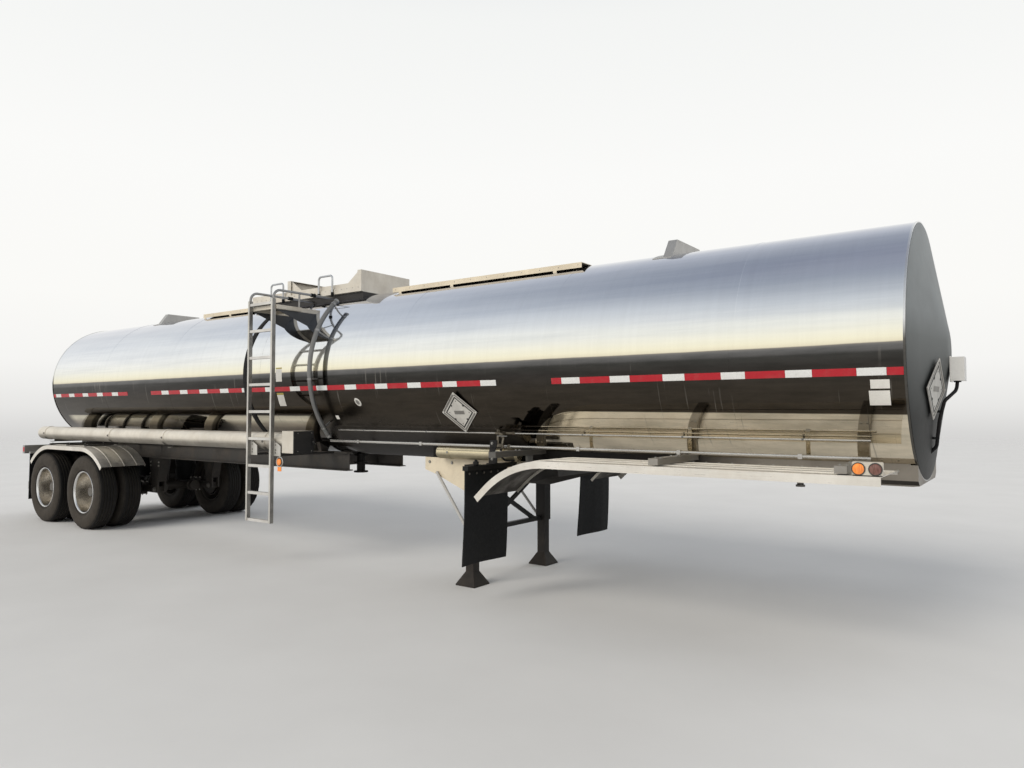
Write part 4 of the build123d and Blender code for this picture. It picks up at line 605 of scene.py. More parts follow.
def on_jacket(side, z):
    """A point on the jacket's side at a height, and its outward direction."""
    angle = math.asin((z - TANK_Z) / TANK_R)
    out = Vector((0, side * math.cos(angle), math.sin(angle)))
    return out * TANK_R + Vector((0, 0, TANK_Z)), out


def slab_faces(rows, columns):
    """Faces of a thin closed slab: two grids of vertices, row by row, the under side first."""
    row = columns + 1
    layer = row * (rows + 1)
    faces = []
    for a in (i * row + k for i in range(rows) for k in range(columns)):
        faces.append((layer + a, layer + a + 1, layer + a + 1 + row, layer + a + row))
        faces.append((a + row, a + row + 1, a + 1, a))
    rim = list(range(row)) + [(i + 1) * row - 1 for i in range(1, rows + 1)]
    rim += [rows * row + k for k in range(columns - 1, -1, -1)] + [i * row for i in range(rows - 1, 0, -1)]
    return faces + [(a, b, layer + b, layer + a) for a, b in zip(rim, rim[1:] + rim[:1])]


def jacket_patch(shape, side, x0, x1, z0, z1, material, lift):
    """A thin curved plate that lies on the jacket."""
    rows = 4
    low, high = (math.asin((z - TANK_Z) / TANK_R) for z in (z0, z1))
    verts = []
    for radius in (TANK_R + 0.0001, TANK_R + lift):
        for i in range(rows + 1):
            angle = low + (high - low) * i / rows
            y, z = side * radius * math.cos(angle), TANK_Z + radius * math.sin(angle)
            verts += [(x0, y, z), (x1, y, z)]
    shape.add(verts, [face[::-side] for face in slab_faces(rows, 1)], material)


# Materials on the solids that stay
FINISH = {
    "spill": "spill_box", "hoop": "grab_hoops", "deck": "walkways", "guard": "rollover_guards rear_bumper",
    "sheet": "manhole_collar manhole_lid top_valves", "ladder": "ladder", "tread": "ladder_treads",
    "platform": "step_platform", "rail": "handrails", "tube": "hose_tube", "dark_plate": "hose_tube_door",
    "bracket": "hose_brackets", "pipe": "air_line", "coupler": "coupler_frame outlet_valve", "hub": "kingpin",
    "saddle": "landing_frame", "black": "landing_legs", "brace": "landing_braces",
    "reservoir": "air_reservoir", "fender": "front_fenders", "arm": "fender_arms",
    "steel": "rear_frame frame_saddles rear_fender_arms",
    "gear": "suspension_hangers trailing_arms axle_front axle_rear", "rubber": "air_springs",
    "rear_fender": "rear_fenders", "white": "plug_box"}
SOFT_EDGES = {
    0.001: "walkways", 0.0015: "spill_box step_platform fender_arms rear_fender_arms rollover_guards",
    0.002: "ladder ladder_treads coupler_frame landing_frame rear_frame", 0.004: "trailing_arms",
    0.003: "landing_legs rear_bumper suspension_hangers", 0.006: "plug_box"}
for look, names in FINISH.items():
    for name in names.split():
        nodes[name].data.materials.clear()
        nodes[name].data.materials.append(M[look])
for width, names in SOFT_EDGES.items():
    for name in names.split():
        soft = nodes[name].modifiers.new("edge", "BEVEL")
        soft.width = width
        soft.segments = 2
        soft.limit_method = "ANGLE"
        soft.angle_limit = math.radians(40)

# Tank: jacket, heads, band
SEAMS = (-4.4, -2.62, -0.6, 1.62, 3.4, 5.027)
SEAM_HALF, SEAM_LIFT, EDGE = 0.02, 0.001, 0.001
JACKET_STEPS = 288
profile = [(0.94, REAR), (RIM_BAND_R - EDGE, REAR), (RIM_BAND_R, REAR + EDGE),
           (RIM_BAND_R, REAR + RIM_BAND_W), (TANK_R, REAR + RIM_BAND_W + 0.0005)]
for seam in SEAMS:
    profile += [(TANK_R, seam - SEAM_HALF - EDGE), (TANK_R + SEAM_LIFT, seam - SEAM_HALF),
                (TANK_R + SEAM_LIFT, seam + SEAM_HALF), (TANK_R, seam + SEAM_HALF + EDGE)]
profile += [(TANK_R, FRONT - RIM_BAND_W - 0.0005), (RIM_BAND_R, FRONT - RIM_BAND_W),
            (RIM_BAND_R, FRONT - EDGE), (RIM_BAND_R - EDGE, FRONT), (0.94, FRONT)]
jacket = Shape()
jacket.turned(profile, "jacket", along_tank(0), JACKET_STEPS)
for k, (low, high) in enumerate(zip(profile, profile[1:])):
    if max(low[0], high[0]) > TANK_R + 0.003:
        jacket.index[k * JACKET_STEPS:(k + 1) * JACKET_STEPS] = [jacket.slot_of("band")] * JACKET_STEPS
jacket.done("tank_jacket", replaces=("tank_barrel",), sharp=24)

HEAD_PROFILE = ((0.0, 0.0), (0.9395, 0.0), (0.9395, 0.002), (0.936, 0.003), (0.925, 0.0085), (0.7, 0.05),
                (0.42, 0.102), (0.19, 0.1445), (0.15, 0.1525), (0.118, 0.157), (0.06, 0.158), (0.0, 0.158))
for name, x, way in (("front_head", FRONT, 1), ("rear_head", REAR, -1)):
    head = Shape()
    head.turned(HEAD_PROFILE, "head", along_tank(x, way), 192)
    head.done(name + "_sheet", replaces=(name,))

band = Shape()
band.turned(((0.9453, 0.0), (0.9505, 0.0), (0.951, 0.001), (0.951, 0.082), (0.9505, 0.083), (0.9453, 0.083)),
            "belt", along_tank(-0.906), 192, closed=True)
band.done("sealing_band", replaces=("ring_band",))

overflow = Shape()
BEND_STEPS = 48
middle = Vector((0.45, 0, TANK_Z))
orbit = TANK_R + 0.105
path = []
for k in range(BEND_STEPS + 1):
    turn = math.radians(-43 + 93 * k / BEND_STEPS)
    path.append(middle + Vector((0, -orbit * math.cos(turn), orbit * math.sin(turn))))
overflow.pipe(path, 0.0255, "hose", 0.02, 20)
for end, near in ((0, 1), (-1, -2)):
    way = (path[end] - path[near]).normalized()
    overflow.turned(((0.0, 0.0), (0.0295, 0.0), (0.03, 0.001), (0.03, 0.026), (0.0285, 0.028), (0.0, 0.028)),
                    "rail", placed(path[end] - way * 0.0285, way), 32)
for turn in map(math.radians, (-36, -5, 25, 46)):
    out = Vector((0, -math.cos(turn), math.sin(turn)))
    overflow.rod(middle + out * (TANK_R - 0.002), middle + out * (orbit - 0.02), 0.009, "rail")
    overflow.turned(((0.0256, -0.011), (0.0285, -0.011), (0.029, 0.0), (0.0285, 0.011), (0.0256, 0.011)),
                    "rail", placed(middle + out * orbit, (0, math.sin(turn), math.cos(turn))), 32, True)
overflow.done("curved_overflow_pipe", replaces=("overflow_pipe",))

# Tape, labels and signs. Tape distances run back from the front head.
PERIOD, RED_LEN = 0.4572, 0.2794
TAPE_LOW, TAPE_HIGH, TAPE_GAP = 1.8938, 1.9446, 0.0006
WORDS = ((RIGHT, "right"), (LEFT, "left"))


def tape_run(lead, count, end):
    """A run of tape: its leading pieces, whole red and white pairs, and a last red piece that is cut off."""
    run = list(lead)
    at = run[-1][1]
    for _ in range(count):
        run += [(at, at - RED_LEN, "red_tape"), (at - RED_LEN, at - PERIOD, "white_tape")]
        at -= PERIOD
    return run + [(at, end, "red_tape")]


stripes = tape_run(((-0.0155, -0.115, "red_tape"), (-0.115, -0.293, "white_tape")), 5, -2.68)
stripes += tape_run(((-3.27, -3.4487, "white_tape"),), 12, -9.21)
stripes += tape_run(((-9.85, -10.1275, "red_tape"), (-10.1275, -10.3053, "white_tape")), 4, -12.2145)
for side, word in WORDS:
    tape = Shape()
    for start, end, look in stripes:
        jacket_patch(tape, side, FRONT + end + TAPE_GAP, FRONT + start - TAPE_GAP, TAPE_LOW, TAPE_HIGH,
                     look, 0.0018)
    tape.done(f"reflective_tape_{word}")

labels = Shape()
for sides, x, z, wide, high, look in (
        (SIDES, 5.992, 1.838, 0.115, 0.058, "label"), (SIDES, 5.985, 1.748, 0.125, 0.095, "label"),
        (SIDES, -0.226, 2.077, 0.108, 0.144, "label"), (SIDES, -0.226, 2.1575, 0.108, 0.015, "yellow"),
        (SIDES, -0.235, 1.79, 0.12, 0.126, "label"), (SIDES, -0.235, 1.865, 0.12, 0.022, "yellow"),
        ((RIGHT,), -0.13, 2.771, 0.15, 0.07, "label"), ((RIGHT,), -0.14, 2.835, 0.17, 0.05, "yellow"),
        (SIDES, 0.62, 1.6, 0.05, 0.04, "label")):
    for side in sides:
        jacket_patch(labels, side, x - wide / 2, x + wide / 2, z - high / 2, z + high / 2, look, 0.0006)
labels.done("blank_labels")

oval = Shape()
spot, out = on_jacket(RIGHT, 1.762)
stretched = placed((1.03, spot.y, spot.z), out) @ Matrix.Diagonal((1.0, 1.5, 1.0, 1.0))
oval.turned(((0, 0), (0.034, 0), (0.036, 0.002), (0.034, 0.005), (0.026, 0.006), (0, 0.006)), "plate",
            stretched, 40)
oval.turned(((0, 0.005), (0.022, 0.005), (0.02, 0.0075), (0, 0.0078)), "plate_frame", stretched, 32)
oval.done("oval_fitting")


def sign(place, shape, stand):
    """A sign holder on two studs: frame, rolled lips, and the blank plate with black groove strips as painted
    shade, clip marks, rivets and a latch.
    """
    half, inner, lip = 0.151, 0.128, 0.0055
    square = place @ Matrix.Rotation(math.pi / 4, 4, "Z")
    shape.box((-half, -half, 0), (half, half, 0.0035), "plate_frame", square)
    shape.box((-inner, -inner, 0.0035), (inner, inner, 0.0055), "plate", square)
    for low, high in ((-half, -half + lip), (half - lip, half)):
        shape.box((low, -half, 0.0035), (high, half, 0.0085), "plate", square)
        shape.box((-half, low, 0.0035), (half, high, 0.0085), "plate", square)
    for turn in range(4):
        edge = square @ Matrix.Rotation(math.pi / 2 * turn, 4, "Z")
        # Black strips along the groove inside the frame: painted shade
        shape.box((0.106, -0.116, 0.0055), (0.118, 0.116, 0.0061), "black", edge, 0.0003)
        shape.box((0.092, -0.009, 0.0055), (0.107, 0.009, 0.0066), "black", edge, 0.0003)
        shape.rod(edge @ Vector((0.138, 0.138, 0.004)), edge @ Vector((0.138, 0.138, 0.0105)), 0.01, "plate")
        shape.rod(edge @ Vector((0.084, 0.084, 0.004)), edge @ Vector((0.084, 0.084, 0.0062)), 0.0055,
                  "black")
    shape.box((-0.06, -0.018, 0.0055), (0.06, 0.018, 0.008), "plate_frame", place)
    for at in (-0.08, 0.08):
        shape.rod(place @ Vector((at, 0, 0.001)), place @ Vector((at, 0, -stand)), 0.008, "plate_frame")


signs = Shape()
low = math.radians(28)
for side in SIDES:
    out = Vector((0, side * math.cos(low), -math.sin(low)))
    sign(placed(Vector((2.386, 0, TANK_Z)) + out * (TANK_R + 0.008), out, (1, 0, 0)), signs, 0.01)
HEAD_SLOPE, SIGN_Y, SIGN_DROP = 0.184, -0.4, 0.288
radius = math.hypot(SIGN_Y, SIGN_DROP)
for x, way in ((FRONT, 1), (REAR, -1)):
    out = Vector((way, SIGN_Y / radius * HEAD_SLOPE, -SIGN_DROP / radius * HEAD_SLOPE)).normalized()
    seat = Vector((x + way * (0.0085 + (0.925 - radius) * HEAD_SLOPE), SIGN_Y, TANK_Z - SIGN_DROP))
    sign(placed(seat + out * 0.014, out, (0, 1, 0)), signs, 0.016)
signs.done("blank_signs", replaces=("placard_holders",))

# Wheels: one twin wheel of the right side, about the middle between its tyres, then its copies
tread = []
for groove in (-0.058, -0.019, 0.019, 0.058):
    tread += [(0.52, groove - 0.0065), (0.507, groove - 0.0045), (0.507, groove + 0.0045),
              (0.52, groove + 0.0065)]
side_wall = [(0.2995, 0.104), (0.306, 0.113), (0.318, 0.1185), (0.323, 0.1225), (0.331, 0.1225),
             (0.336, 0.1245), (0.362, 0.133), (0.366, 0.1345), (0.4, 0.1375), (0.432, 0.1365),
             (0.436, 0.1355), (0.458, 0.131), (0.462, 0.13), (0.478, 0.124), (0.4965, 0.1165), (0.503, 0.112),
             (0.5125, 0.106), (0.5185, 0.099), (0.52, 0.094)]
tyre_profile = [(r, -h) for r, h in side_wall] + tread + side_wall[::-1] + [(0.2868, 0.104), (0.2868, -0.104)]
rim_profile = [(0.298, 0.277), (0.2985, 0.285), (0.296, 0.2885), (0.29, 0.2885), (0.284, 0.285),
               (0.279, 0.278), (0.2765, 0.26), (0.274, 0.2), (0.269, 0.12), (0.264, 0.07),
               (0.254, 0.042), (0.239, 0.029), (0.22, 0.024), (0.175, 0.0225), (0.169, 0.024),
               (0.124, 0.024), (0.076, 0.024), (0.076, 0.0003), (0.24, 0.0003), (0.262, 0.018),
               (0.278, 0.05), (0.286, 0.064), (0.286, 0.277)]
RIM_STEPS = 120
LIP_FACES = 6 * RIM_STEPS


def notched(radius, ring, step):
    """Shoulder blocks: every second pair of segments lies a little lower, but not in the tread's grooves."""
    shoulder = 0.497 < radius < 0.5195 and ring not in range(20, 34)
    return radius - 0.0035 if shoulder and step % 4 < 2 else radius


outer = placed((0, 0, 0), (0, -1, 0), (1, 0, 0))
tyres, rims, hub = Shape(), Shape(), Shape()
for shift in (0.1715, -0.1715):
    tyres.turned(tyre_profile, "tyre", outer @ Matrix.Translation((0, 0, shift)), 128, True, notched)
rims.turned(rim_profile, "rim", outer, RIM_STEPS, True)
rims.index[:LIP_FACES] = [rims.slot_of("lip")] * LIP_FACES
rims.turned([(r, -h) for r, h in rim_profile][::-1], "inner_rim", outer, RIM_STEPS, True)
hub.turned(((0.0455, -0.278), (0.1, -0.278), (0.112, -0.12), (0.112, -0.024), (0.0755, -0.024),
            (0.0755, 0.0245), (0.119, 0.0245), (0.116, 0.042), (0.098, 0.056), (0.09, 0.118),
            (0.094, 0.13), (0.094, 0.148), (0.088, 0.15), (0.0455, 0.15)), "hub", outer, 72, True)
hub.turned(((0.0, 0.15), (0.077, 0.15), (0.078, 0.156), (0.07, 0.158), (0.066, 0.188), (0.06, 0.194),
            (0.0, 0.195)), "hub", outer, 60)
hub.turned(((0.212, -0.024), (0.212, -0.07), (0.208, -0.072), (0.208, -0.098), (0.212, -0.1),
            (0.212, -0.27), (0.209, -0.279), (0.198, -0.279), (0.198, -0.05), (0.1, -0.05),
            (0.1, -0.024)), "gear", outer, 96, True)
for x, y in around(10, 0.143, 18):
    at = outer @ Vector((x, y, 0.0235))
    hub.turned(((0, 0), (0.0225, 0), (0.0225, 0.004), (0, 0.004)), "bolt", placed(at, (0, -1, 0)), 24)
    hub.turned(((0, 0.003), (0.0185, 0.003), (0.0185, 0.021), (0.0155, 0.0245), (0.0095, 0.025),
                (0.0095, 0.04), (0.008, 0.042), (0, 0.042)), "bolt", placed(at, (0, -1, 0), (x, 0, y)), 6)
for x, y in around(6, 0.0735):
    hub.bolt(outer @ Vector((x, y, 0.1578)), (0, -1, 0), 0.0055)

cutters = Shape()
for x, z in around(10, 0.205):
    cutters.rod((x, -0.06, z), (x, 0.06, z), 0.03, "rim", 32, 0.0)
cutter = in_scene("hand_holes", cutters.mesh("hand_holes"))
rim_source = in_scene("rim_source", rims.mesh("rim_pair"))
cut = rim_source.modifiers.new("holes", "BOOLEAN")
cut.object = cutter
cut.operation = "DIFFERENCE"
cut.solver = "EXACT"
bpy.context.view_layer.update()
drilled = bpy.data.meshes.new_from_object(rim_source.evaluated_get(bpy.context.evaluated_depsgraph_get()))
drilled.name = "rim_pair_drilled"
for helper in (cutter, rim_source):
    bpy.data.objects.remove(helper)

wheel_meshes = {"tyres": tyres.mesh("tyre_pair"), "rims": drilled, "hub": hub.mesh("hub_and_drum")}
for mesh in wheel_meshes.values():
    mesh.set_sharp_from_angle(angle=math.radians(30))
WHEEL_SLOTS = {"tyres": "tyre", "rims": "rim"}
for (axle, x), (side, word) in product(AXLES.items(), WORDS):
    place = Matrix.Translation((x, side * TWIN_Y, WHEEL_Z))
    if side == LEFT:
        place = place @ Matrix.Rotation(math.pi, 4, "Z")
    place = place @ Matrix.Rotation(math.radians(rng.uniform(0, 36)), 4, "Y")
    for title, mesh in wheel_meshes.items():
        own = mesh.copy()
        own.transform(place)
        solids = (f"{title}_{axle}_{word}",) if title in WHEEL_SLOTS else ()
        settle(in_scene(f"{title}_{axle}_{word}_look", own), f"wheel_{axle}_{word}", solids)


# Mudflaps
def mudflap(flap, x, z_low, z_high, side, sway):
    """A hanging rubber sheet with ribs, a soft wave and a bolted strip at its top."""
    rows, columns, half_thick = 26, 16, 0.0045
    y_in, y_out = 0.671, 1.276
    verts = []
    for face, i, k in product((1, -1), range(rows + 1), range(columns + 1)):
        drop, across = i / rows, k / columns
        wave = sway * (0.6 * drop * math.sin(across * 4.4 + 1.2 * side) + drop * drop)
        rib = 0.0018 * (0.5 + 0.5 * math.cos(across * math.pi * 24)) if 0.05 < drop < 0.95 else 0
        verts.append((x - wave + (half_thick + rib) * face, side * (y_in + (y_out - y_in) * across),
                      z_high - (z_high - z_low) * drop))
    flap.add(verts, [face[::side] for face in slab_faces(rows, columns)], "rubber")
    flap.box((x - 0.012, side * (y_in + 0.01), z_high - 0.045),
             (x - 0.0045, side * (y_out - 0.01), z_high - 0.008), "black")
    for k in range(6):
        y = side * (y_in + 0.05 + (y_out - y_in - 0.1) * k / 5)
        flap.bolt((x - 0.0118, y, z_high - 0.026), (-1, 0, 0), 0.008, "hub")
        flap.bolt((x + 0.0062, y, z_high - 0.026), (1, 0, 0), 0.008, "hub")


for title, x, z_low, z_high, sway in (("front_mudflaps", 2.815, 0.327, 1.1497, 0.034),
                                      ("rear_mudflaps", -6.008, 0.302, 1.0098, 0.016)):
    pair = Shape()
    for side in SIDES:
        mudflap(pair, x, z_low, z_high, side, sway)
    pair.done(title + "_look", replaces=(title,))


# Lamps
def round_lamp(shape, at, out, r, look, bezel, deep):
    """A lens with a stepped front in a bezel of radius r."""
    place = placed(at, out)
    shape.turned(((0, 0), (r, 0), (r, deep * 0.45), (r * 0.93, deep * 0.62), (r * 0.86, deep * 0.55),
                  (r * 0.84, 0.002), (0, 0.002)), bezel, place)
    shape.turned(((0, 0.003), (r * 0.83, 0.003), (r * 0.83, deep * 0.58), (r * 0.74, deep * 0.8),
                  (r * 0.7, deep * 0.76), (r * 0.62, deep * 0.9), (r * 0.5, deep * 0.86),
                  (r * 0.42, deep * 0.97), (r * 0.22, deep * 0.99), (0, deep)), look, place)


tail = Shape()
for side, y in product(SIDES, (0.62, 0.78, 0.94)):
    round_lamp(tail, (-6.3763, side * y, 1.065), (-1, 0, 0), 0.052, "red_lens", "rubber", 0.0235)
tail.done("tail_lenses", replaces=("tail_lamps",))

side_lamps = Shape()
for side in SIDES:
    y = side * 1.283
    side_lamps.box((5.887, side * 1.235, 1.2663), (6.059, y, 1.3533), "sheet", None, 0.006)
    for x, look in ((5.9255, "amber_lens"), (6.0205, "dark_lens")):
        round_lamp(side_lamps, (x, y, 1.3098), (0, side, 0), 0.04, look, "band", 0.01)
    for x in (5.897, 6.049):
        side_lamps.rivet((x, y, 1.274), (0, side, 0), 0.004)
side_lamps.done("side_lamp_boxes", replaces=("side_lamps",))

markers = Shape()
for side in SIDES:
    x, y = 0.1765, side * 1.2125
    markers.box((x - 0.015, side * 1.2075, 1.02), (x + 0.015, y, 1.1817), "ladder")
    markers.turned(((0, 0), (0.058, 0), (0.059, 0.004), (0.054, 0.01), (0.047, 0.008), (0.046, 0.003),
                    (0, 0.003)), "ladder", placed((x, y, 1.12), (0, side, 0)))
    round_lamp(markers, (x, y + side * 0.002, 1.12), (0, side, 0), 0.044, "amber_lens", "band", 0.0195)
    markers.box((x - 0.031, y, 1.02), (x + 0.031, y + side * 0.008, 1.071), "amber_lens", None, 0.002)
    if side == LEFT:
        markers.box((x - 0.015, 0.4803, 1.1817), (x + 0.015, 1.2125, 1.2), "ladder")
markers.done("side_marker_lamps", replaces=("side_markers",))

# Air lines, valves and the black arm at the legs
lines = Shape()
THIN_Y, THIN_Z = -0.722, 1.462
for x0, x1 in ((0.55, 2.72), (2.93, 5.9)):
    lines.pipe(((x0, THIN_Y, THIN_Z), (x1, THIN_Y, THIN_Z)), 0.0075, "pipe")
spot, _ = on_jacket(RIGHT, THIN_Z)
for x in (0.951, 1.853, 3.656, 4.557, 5.459):
    lines.box((x - 0.008, THIN_Y - 0.01, THIN_Z - 0.004), (x + 0.008, spot.y + 0.004, THIN_Z + 0.001), "hose")
    lines.box((x - 0.008, THIN_Y - 0.01, THIN_Z - 0.009), (x + 0.008, THIN_Y + 0.01, THIN_Z + 0.009), "hose",
              None, 0.003)
for (z, y, r), x in product(((1.345, -0.79, 0.013), (THIN_Z, THIN_Y, 0.0075)), (2.735, 2.915)):
    lines.turned(((0, 0), (r + 0.006, 0), (r + 0.008, 0.004), (r + 0.008, 0.024), (r + 0.005, 0.028),
                  (0, 0.028)), "brass", placed((x, y, z), (1, 0, 0)), 6)
for start, end, radius in (((2.8, -0.79, 1.366), (2.8, -0.79, 1.436), 0.013),
                           ((2.85, -0.79, 1.366), (2.85, -0.77, 1.43), 0.011),
                           ((2.825, -0.78, 1.44), (2.825, -0.726, 1.455), 0.026),
                           ((2.79, -0.76, 1.48), (2.76, -0.74, 1.492), 0.012)):
    lines.rod(start, end, radius, "brass")
lines.pipe(((2.72, THIN_Y, THIN_Z), (2.93, THIN_Y, THIN_Z)), 0.011, "brass", 0.02)
lines.pipe(((2.76, -0.79, 1.335), (2.745, -0.8, 1.275), (2.7, -0.74, 1.215), (2.64, -0.64, 1.195),
            (2.56, -0.575, 1.193)), 0.009, "cable")
lines.pipe(((2.845, -0.8, 1.325), (2.85, -0.83, 1.262), (2.87, -0.77, 1.215), (2.905, -0.68, 1.21)), 0.009,
           "cable")
arm = [(-0.045, 0.0), (0.045, 0.0), (0.046, 0.06), (0.022, 0.11), (0.046, 0.18), (0.046, 0.214),
       (-0.03, 0.214), (-0.034, 0.15), (-0.045, 0.09)]
lines.prism(arm, 0.01, "black", placed((2.827, -0.895, 1.19), (0, -1, 0), (1, 0, 0)))
for low, high, look, edge in (((2.775, -0.815, 1.322), (2.87, -0.765, 1.368), "brass", 0.006),
                              ((2.79, -0.797, 1.434), (2.905, -0.783, 1.442), "bolt", 0.003),
                              ((2.78, -0.94, 1.1902), (2.872, -0.86, 1.1982), "black", 0.002),
                              ((2.8, -0.905, 1.33), (2.85, -0.7745, 1.338), "black", 0.002)):
    lines.box(low, high, look, None, edge)
for z in (1.235, 1.375):
    lines.bolt((2.82, -0.905, z), (0, -1, 0), 0.01)
lines.rod((2.815, -1.13, 1.19), (2.815, -1.13, 1.226), 0.026, "black", 28, 0.006)
lines.rod((2.815, -1.13, 1.226), (2.815, -1.13, 1.24), 0.014, "black", 20, 0.004)
lines.done("line_fittings")

conduit = Shape()
conduit.pipe(((6.352, -0.03, 1.885), (6.346, -0.038, 1.815), (6.284, -0.185, 1.735), (6.257, -0.255, 1.6),
              (6.24, -0.215, 1.485), (6.226, -0.15, 1.41), (6.18, -0.14, 1.365)), 0.012, "cable", 0.06)
for x, y, z in ((6.268, -0.222, 1.66), (6.238, -0.205, 1.472)):
    conduit.box((x - 0.03, y - 0.018, z - 0.008), (x + 0.011, y + 0.018, z + 0.008), "rubber", None, 0.003)
conduit.turned(((0, 0), (0.034, 0), (0.036, 0.004), (0.033, 0.016), (0.024, 0.02), (0.024, 0.03), (0, 0.03)),
               "rubber", placed((6.352, -0.03, 1.9), (0, 0, -1)), 32)
conduit.box((6.3085, -0.086, 1.872), (6.3125, 0.086, 2.058), "pipe", None, 0.001)
conduit.done("head_conduit")

# Bolts, rivets and small fittings
UP, AHEAD, BACK, OUT_RIGHT = (0, 0, 1), (1, 0, 0), (-1, 0, 0), (0, -1, 0)
PAIR = (-1, 1)
small = Shape()
for x in (-0.2, 0.045, -1.13, -0.885):
    small.rod((x, -0.4073, 3.03), (x, -0.4073, 3.078), 0.0165, "rubber")
for x in (-0.356, 0.06):
    small.rod((x, -0.732, 3.0), (x, -0.668, 3.0), 0.0212, "rubber", 24, 0.003)
for side in SIDES:
    out = (0, side, 0)
    for count, first, step, y, z, size in (
            (22, -1.54, 0.0962, 0.395, 3.098, 0.006), (12, 1.09, 0.212, 0.4, 3.004, 0.005),
            (6, -2.64, 0.206, 0.4, 3.004, 0.005)):
        for k in range(count):
            small.rivet((first + k * step, side * y, z), out, size)
    for x, y, way in product((3.1, 4.56, 5.82), (0.6, 0.9, 1.18), PAIR):
        small.bolt((x + way * 0.02, side * y, 1.3213), UP, 0.008)
    for x, y in product((-5.395, -4.835, -4.275), (0.72, 0.98, 1.2)):
        small.bolt((x, side * y, 1.1863), UP, 0.008)
    for x in AXLES.values():
        pin = x + 0.48
        small.bolt((pin, side * 0.495, 0.52), out, 0.03, "hub")
        small.bolt((pin, side * 0.365, 0.52), (0, -side, 0), 0.03, "hub")
        for dx, dy in product((-0.075, 0.075), (-0.03, 0.03)):
            y = side * (0.43 + dy)
            small.rod((x + dx, y, 0.415), (x + dx, y, 0.628), 0.009, "bolt")
            small.bolt((x + dx, y, 0.61), UP, 0.014)
        for dz, dx in product((-0.026, 0.026), (-0.11, 0.11)):
            small.bolt((pin + dx, side * 0.495, 0.9 + dz), out, 0.011)
        small.turned(((0.0782, 0.06), (0.085, 0.064), (0.087, 0.075), (0.085, 0.086), (0.0782, 0.09)),
                     "steel", placed((x + 0.1335, side * 0.255, 0.52), AHEAD), 48, True)
    for k in range(16):
        small.bolt((4.45 + k * 0.105, side * 0.5003, 1.25), out, 0.008)
    for x in (1.75, 2.05, 2.7, 3.05, 3.24):
        small.bolt((x, side * 0.5575, 1.15), out, 0.012)
    for z, way in product((0.56, 0.64, 0.98, 1.08), PAIR):
        small.bolt((2.362 + way * 0.035, side * 0.6728, z), out, 0.01)
    small.box((2.318, side * 0.6728, 0.7), (2.406, side * 0.69, 0.86), "black", None, 0.006)
    for y in (0.49, 0.7, 0.86, 1.1):
        small.bolt((-6.376, side * y, 1.105), BACK, 0.01)
for z, rail in product((1.215, 1.245, 1.3, 1.33), (-0.356, 0.06)):
    small.bolt((rail + 0.045, -1.2177, z), OUT_RIGHT, 0.008)
for x in (-5.706, -3.67, -2.259, -0.15):
    small.box((x - 0.009, -1.21, 1.32), (x + 0.009, -1.198, 1.346), "hub", None, 0.003)
    small.bolt((x, -1.2095, 1.333), OUT_RIGHT, 0.006, "hub")
for x in (2.114, 2.771):
    small.bolt((x, -0.7085, 1.264), OUT_RIGHT, 0.009)
small.rod((1.948, -0.64, 1.264), (1.9515, -0.64, 1.264), 0.045, "black", 32)
small.done("bolts_and_fittings")

latch = Shape()
latch.box((0.4484, -1.012, 1.292), (0.46, -0.992, 1.38), "black", None, 0.003)
latch.rod((0.458, -1.002, 1.336), (0.486, -1.002, 1.336), 0.007, "bolt")
latch.rod((0.484, -1.002, 1.3), (0.484, -1.002, 1.372), 0.006, "black")
for z, y in product((1.24, 1.432), (-1.19, -1.01)):
    latch.rivet((0.4484, y, z), AHEAD, 0.005)
latch.done("door_latch", "hose_tube_door")

MANHOLE_X = -0.2
lid = Shape()
lid.pipe([(MANHOLE_X + way * 0.045, -0.15, z) for way, z in ((-1, 3.14), (-1, 3.185), (1, 3.185), (1, 3.14))],
         0.006, "bolt", 0.015)
lid.turned(((0, 0), (0.06, 0), (0.06, 0.01), (0.05, 0.016), (0.02, 0.02), (0.018, 0.03), (0, 0.031)), "black",
           placed((MANHOLE_X, 0, 3.163), UP), 40)
lid.done("lid_fittings", "manhole_lid")

dogs = Shape()
for k in range(5):
    turn = math.radians(198 + 36 * k)
    away = Vector((math.cos(turn), math.sin(turn), 0))
    root = Vector((MANHOLE_X, 0, 3.062)) + away * 0.254
    screw = root + away * 0.03
    dogs.box((0.0, -0.016, -0.008), (0.04, 0.016, 0.008), "sheet", placed(root, UP, away))
    dogs.rod(screw - Vector((0, 0, 0.004)), screw + Vector((0, 0, 0.09)), 0.006, "bolt")
    dogs.turned(((0, 0), (0.016, 0), (0.016, 0.01), (0.01, 0.014), (0, 0.014)), "brass",
                placed(screw + Vector((0, 0, 0.072)), UP), 6)
CAP_R = 0.055
for x, top in ((0.15, 0.11), (-0.56, 0.07)):
    seat = TANK_Z + TANK_R + top
    dogs.turned(((0, 0), (CAP_R + 0.01, 0), (CAP_R + 0.01, 0.012), (CAP_R - 0.006, 0.02),
                 (CAP_R - 0.014, 0.034), (0.012, 0.046), (0, 0.047)), "sheet", placed((x, 0, seat), UP))
    for dx, y in around(6, CAP_R + 0.001):
        dogs.bolt((x + dx, y, seat + 0.0125), UP, 0.006)
dogs.done("top_fittings")

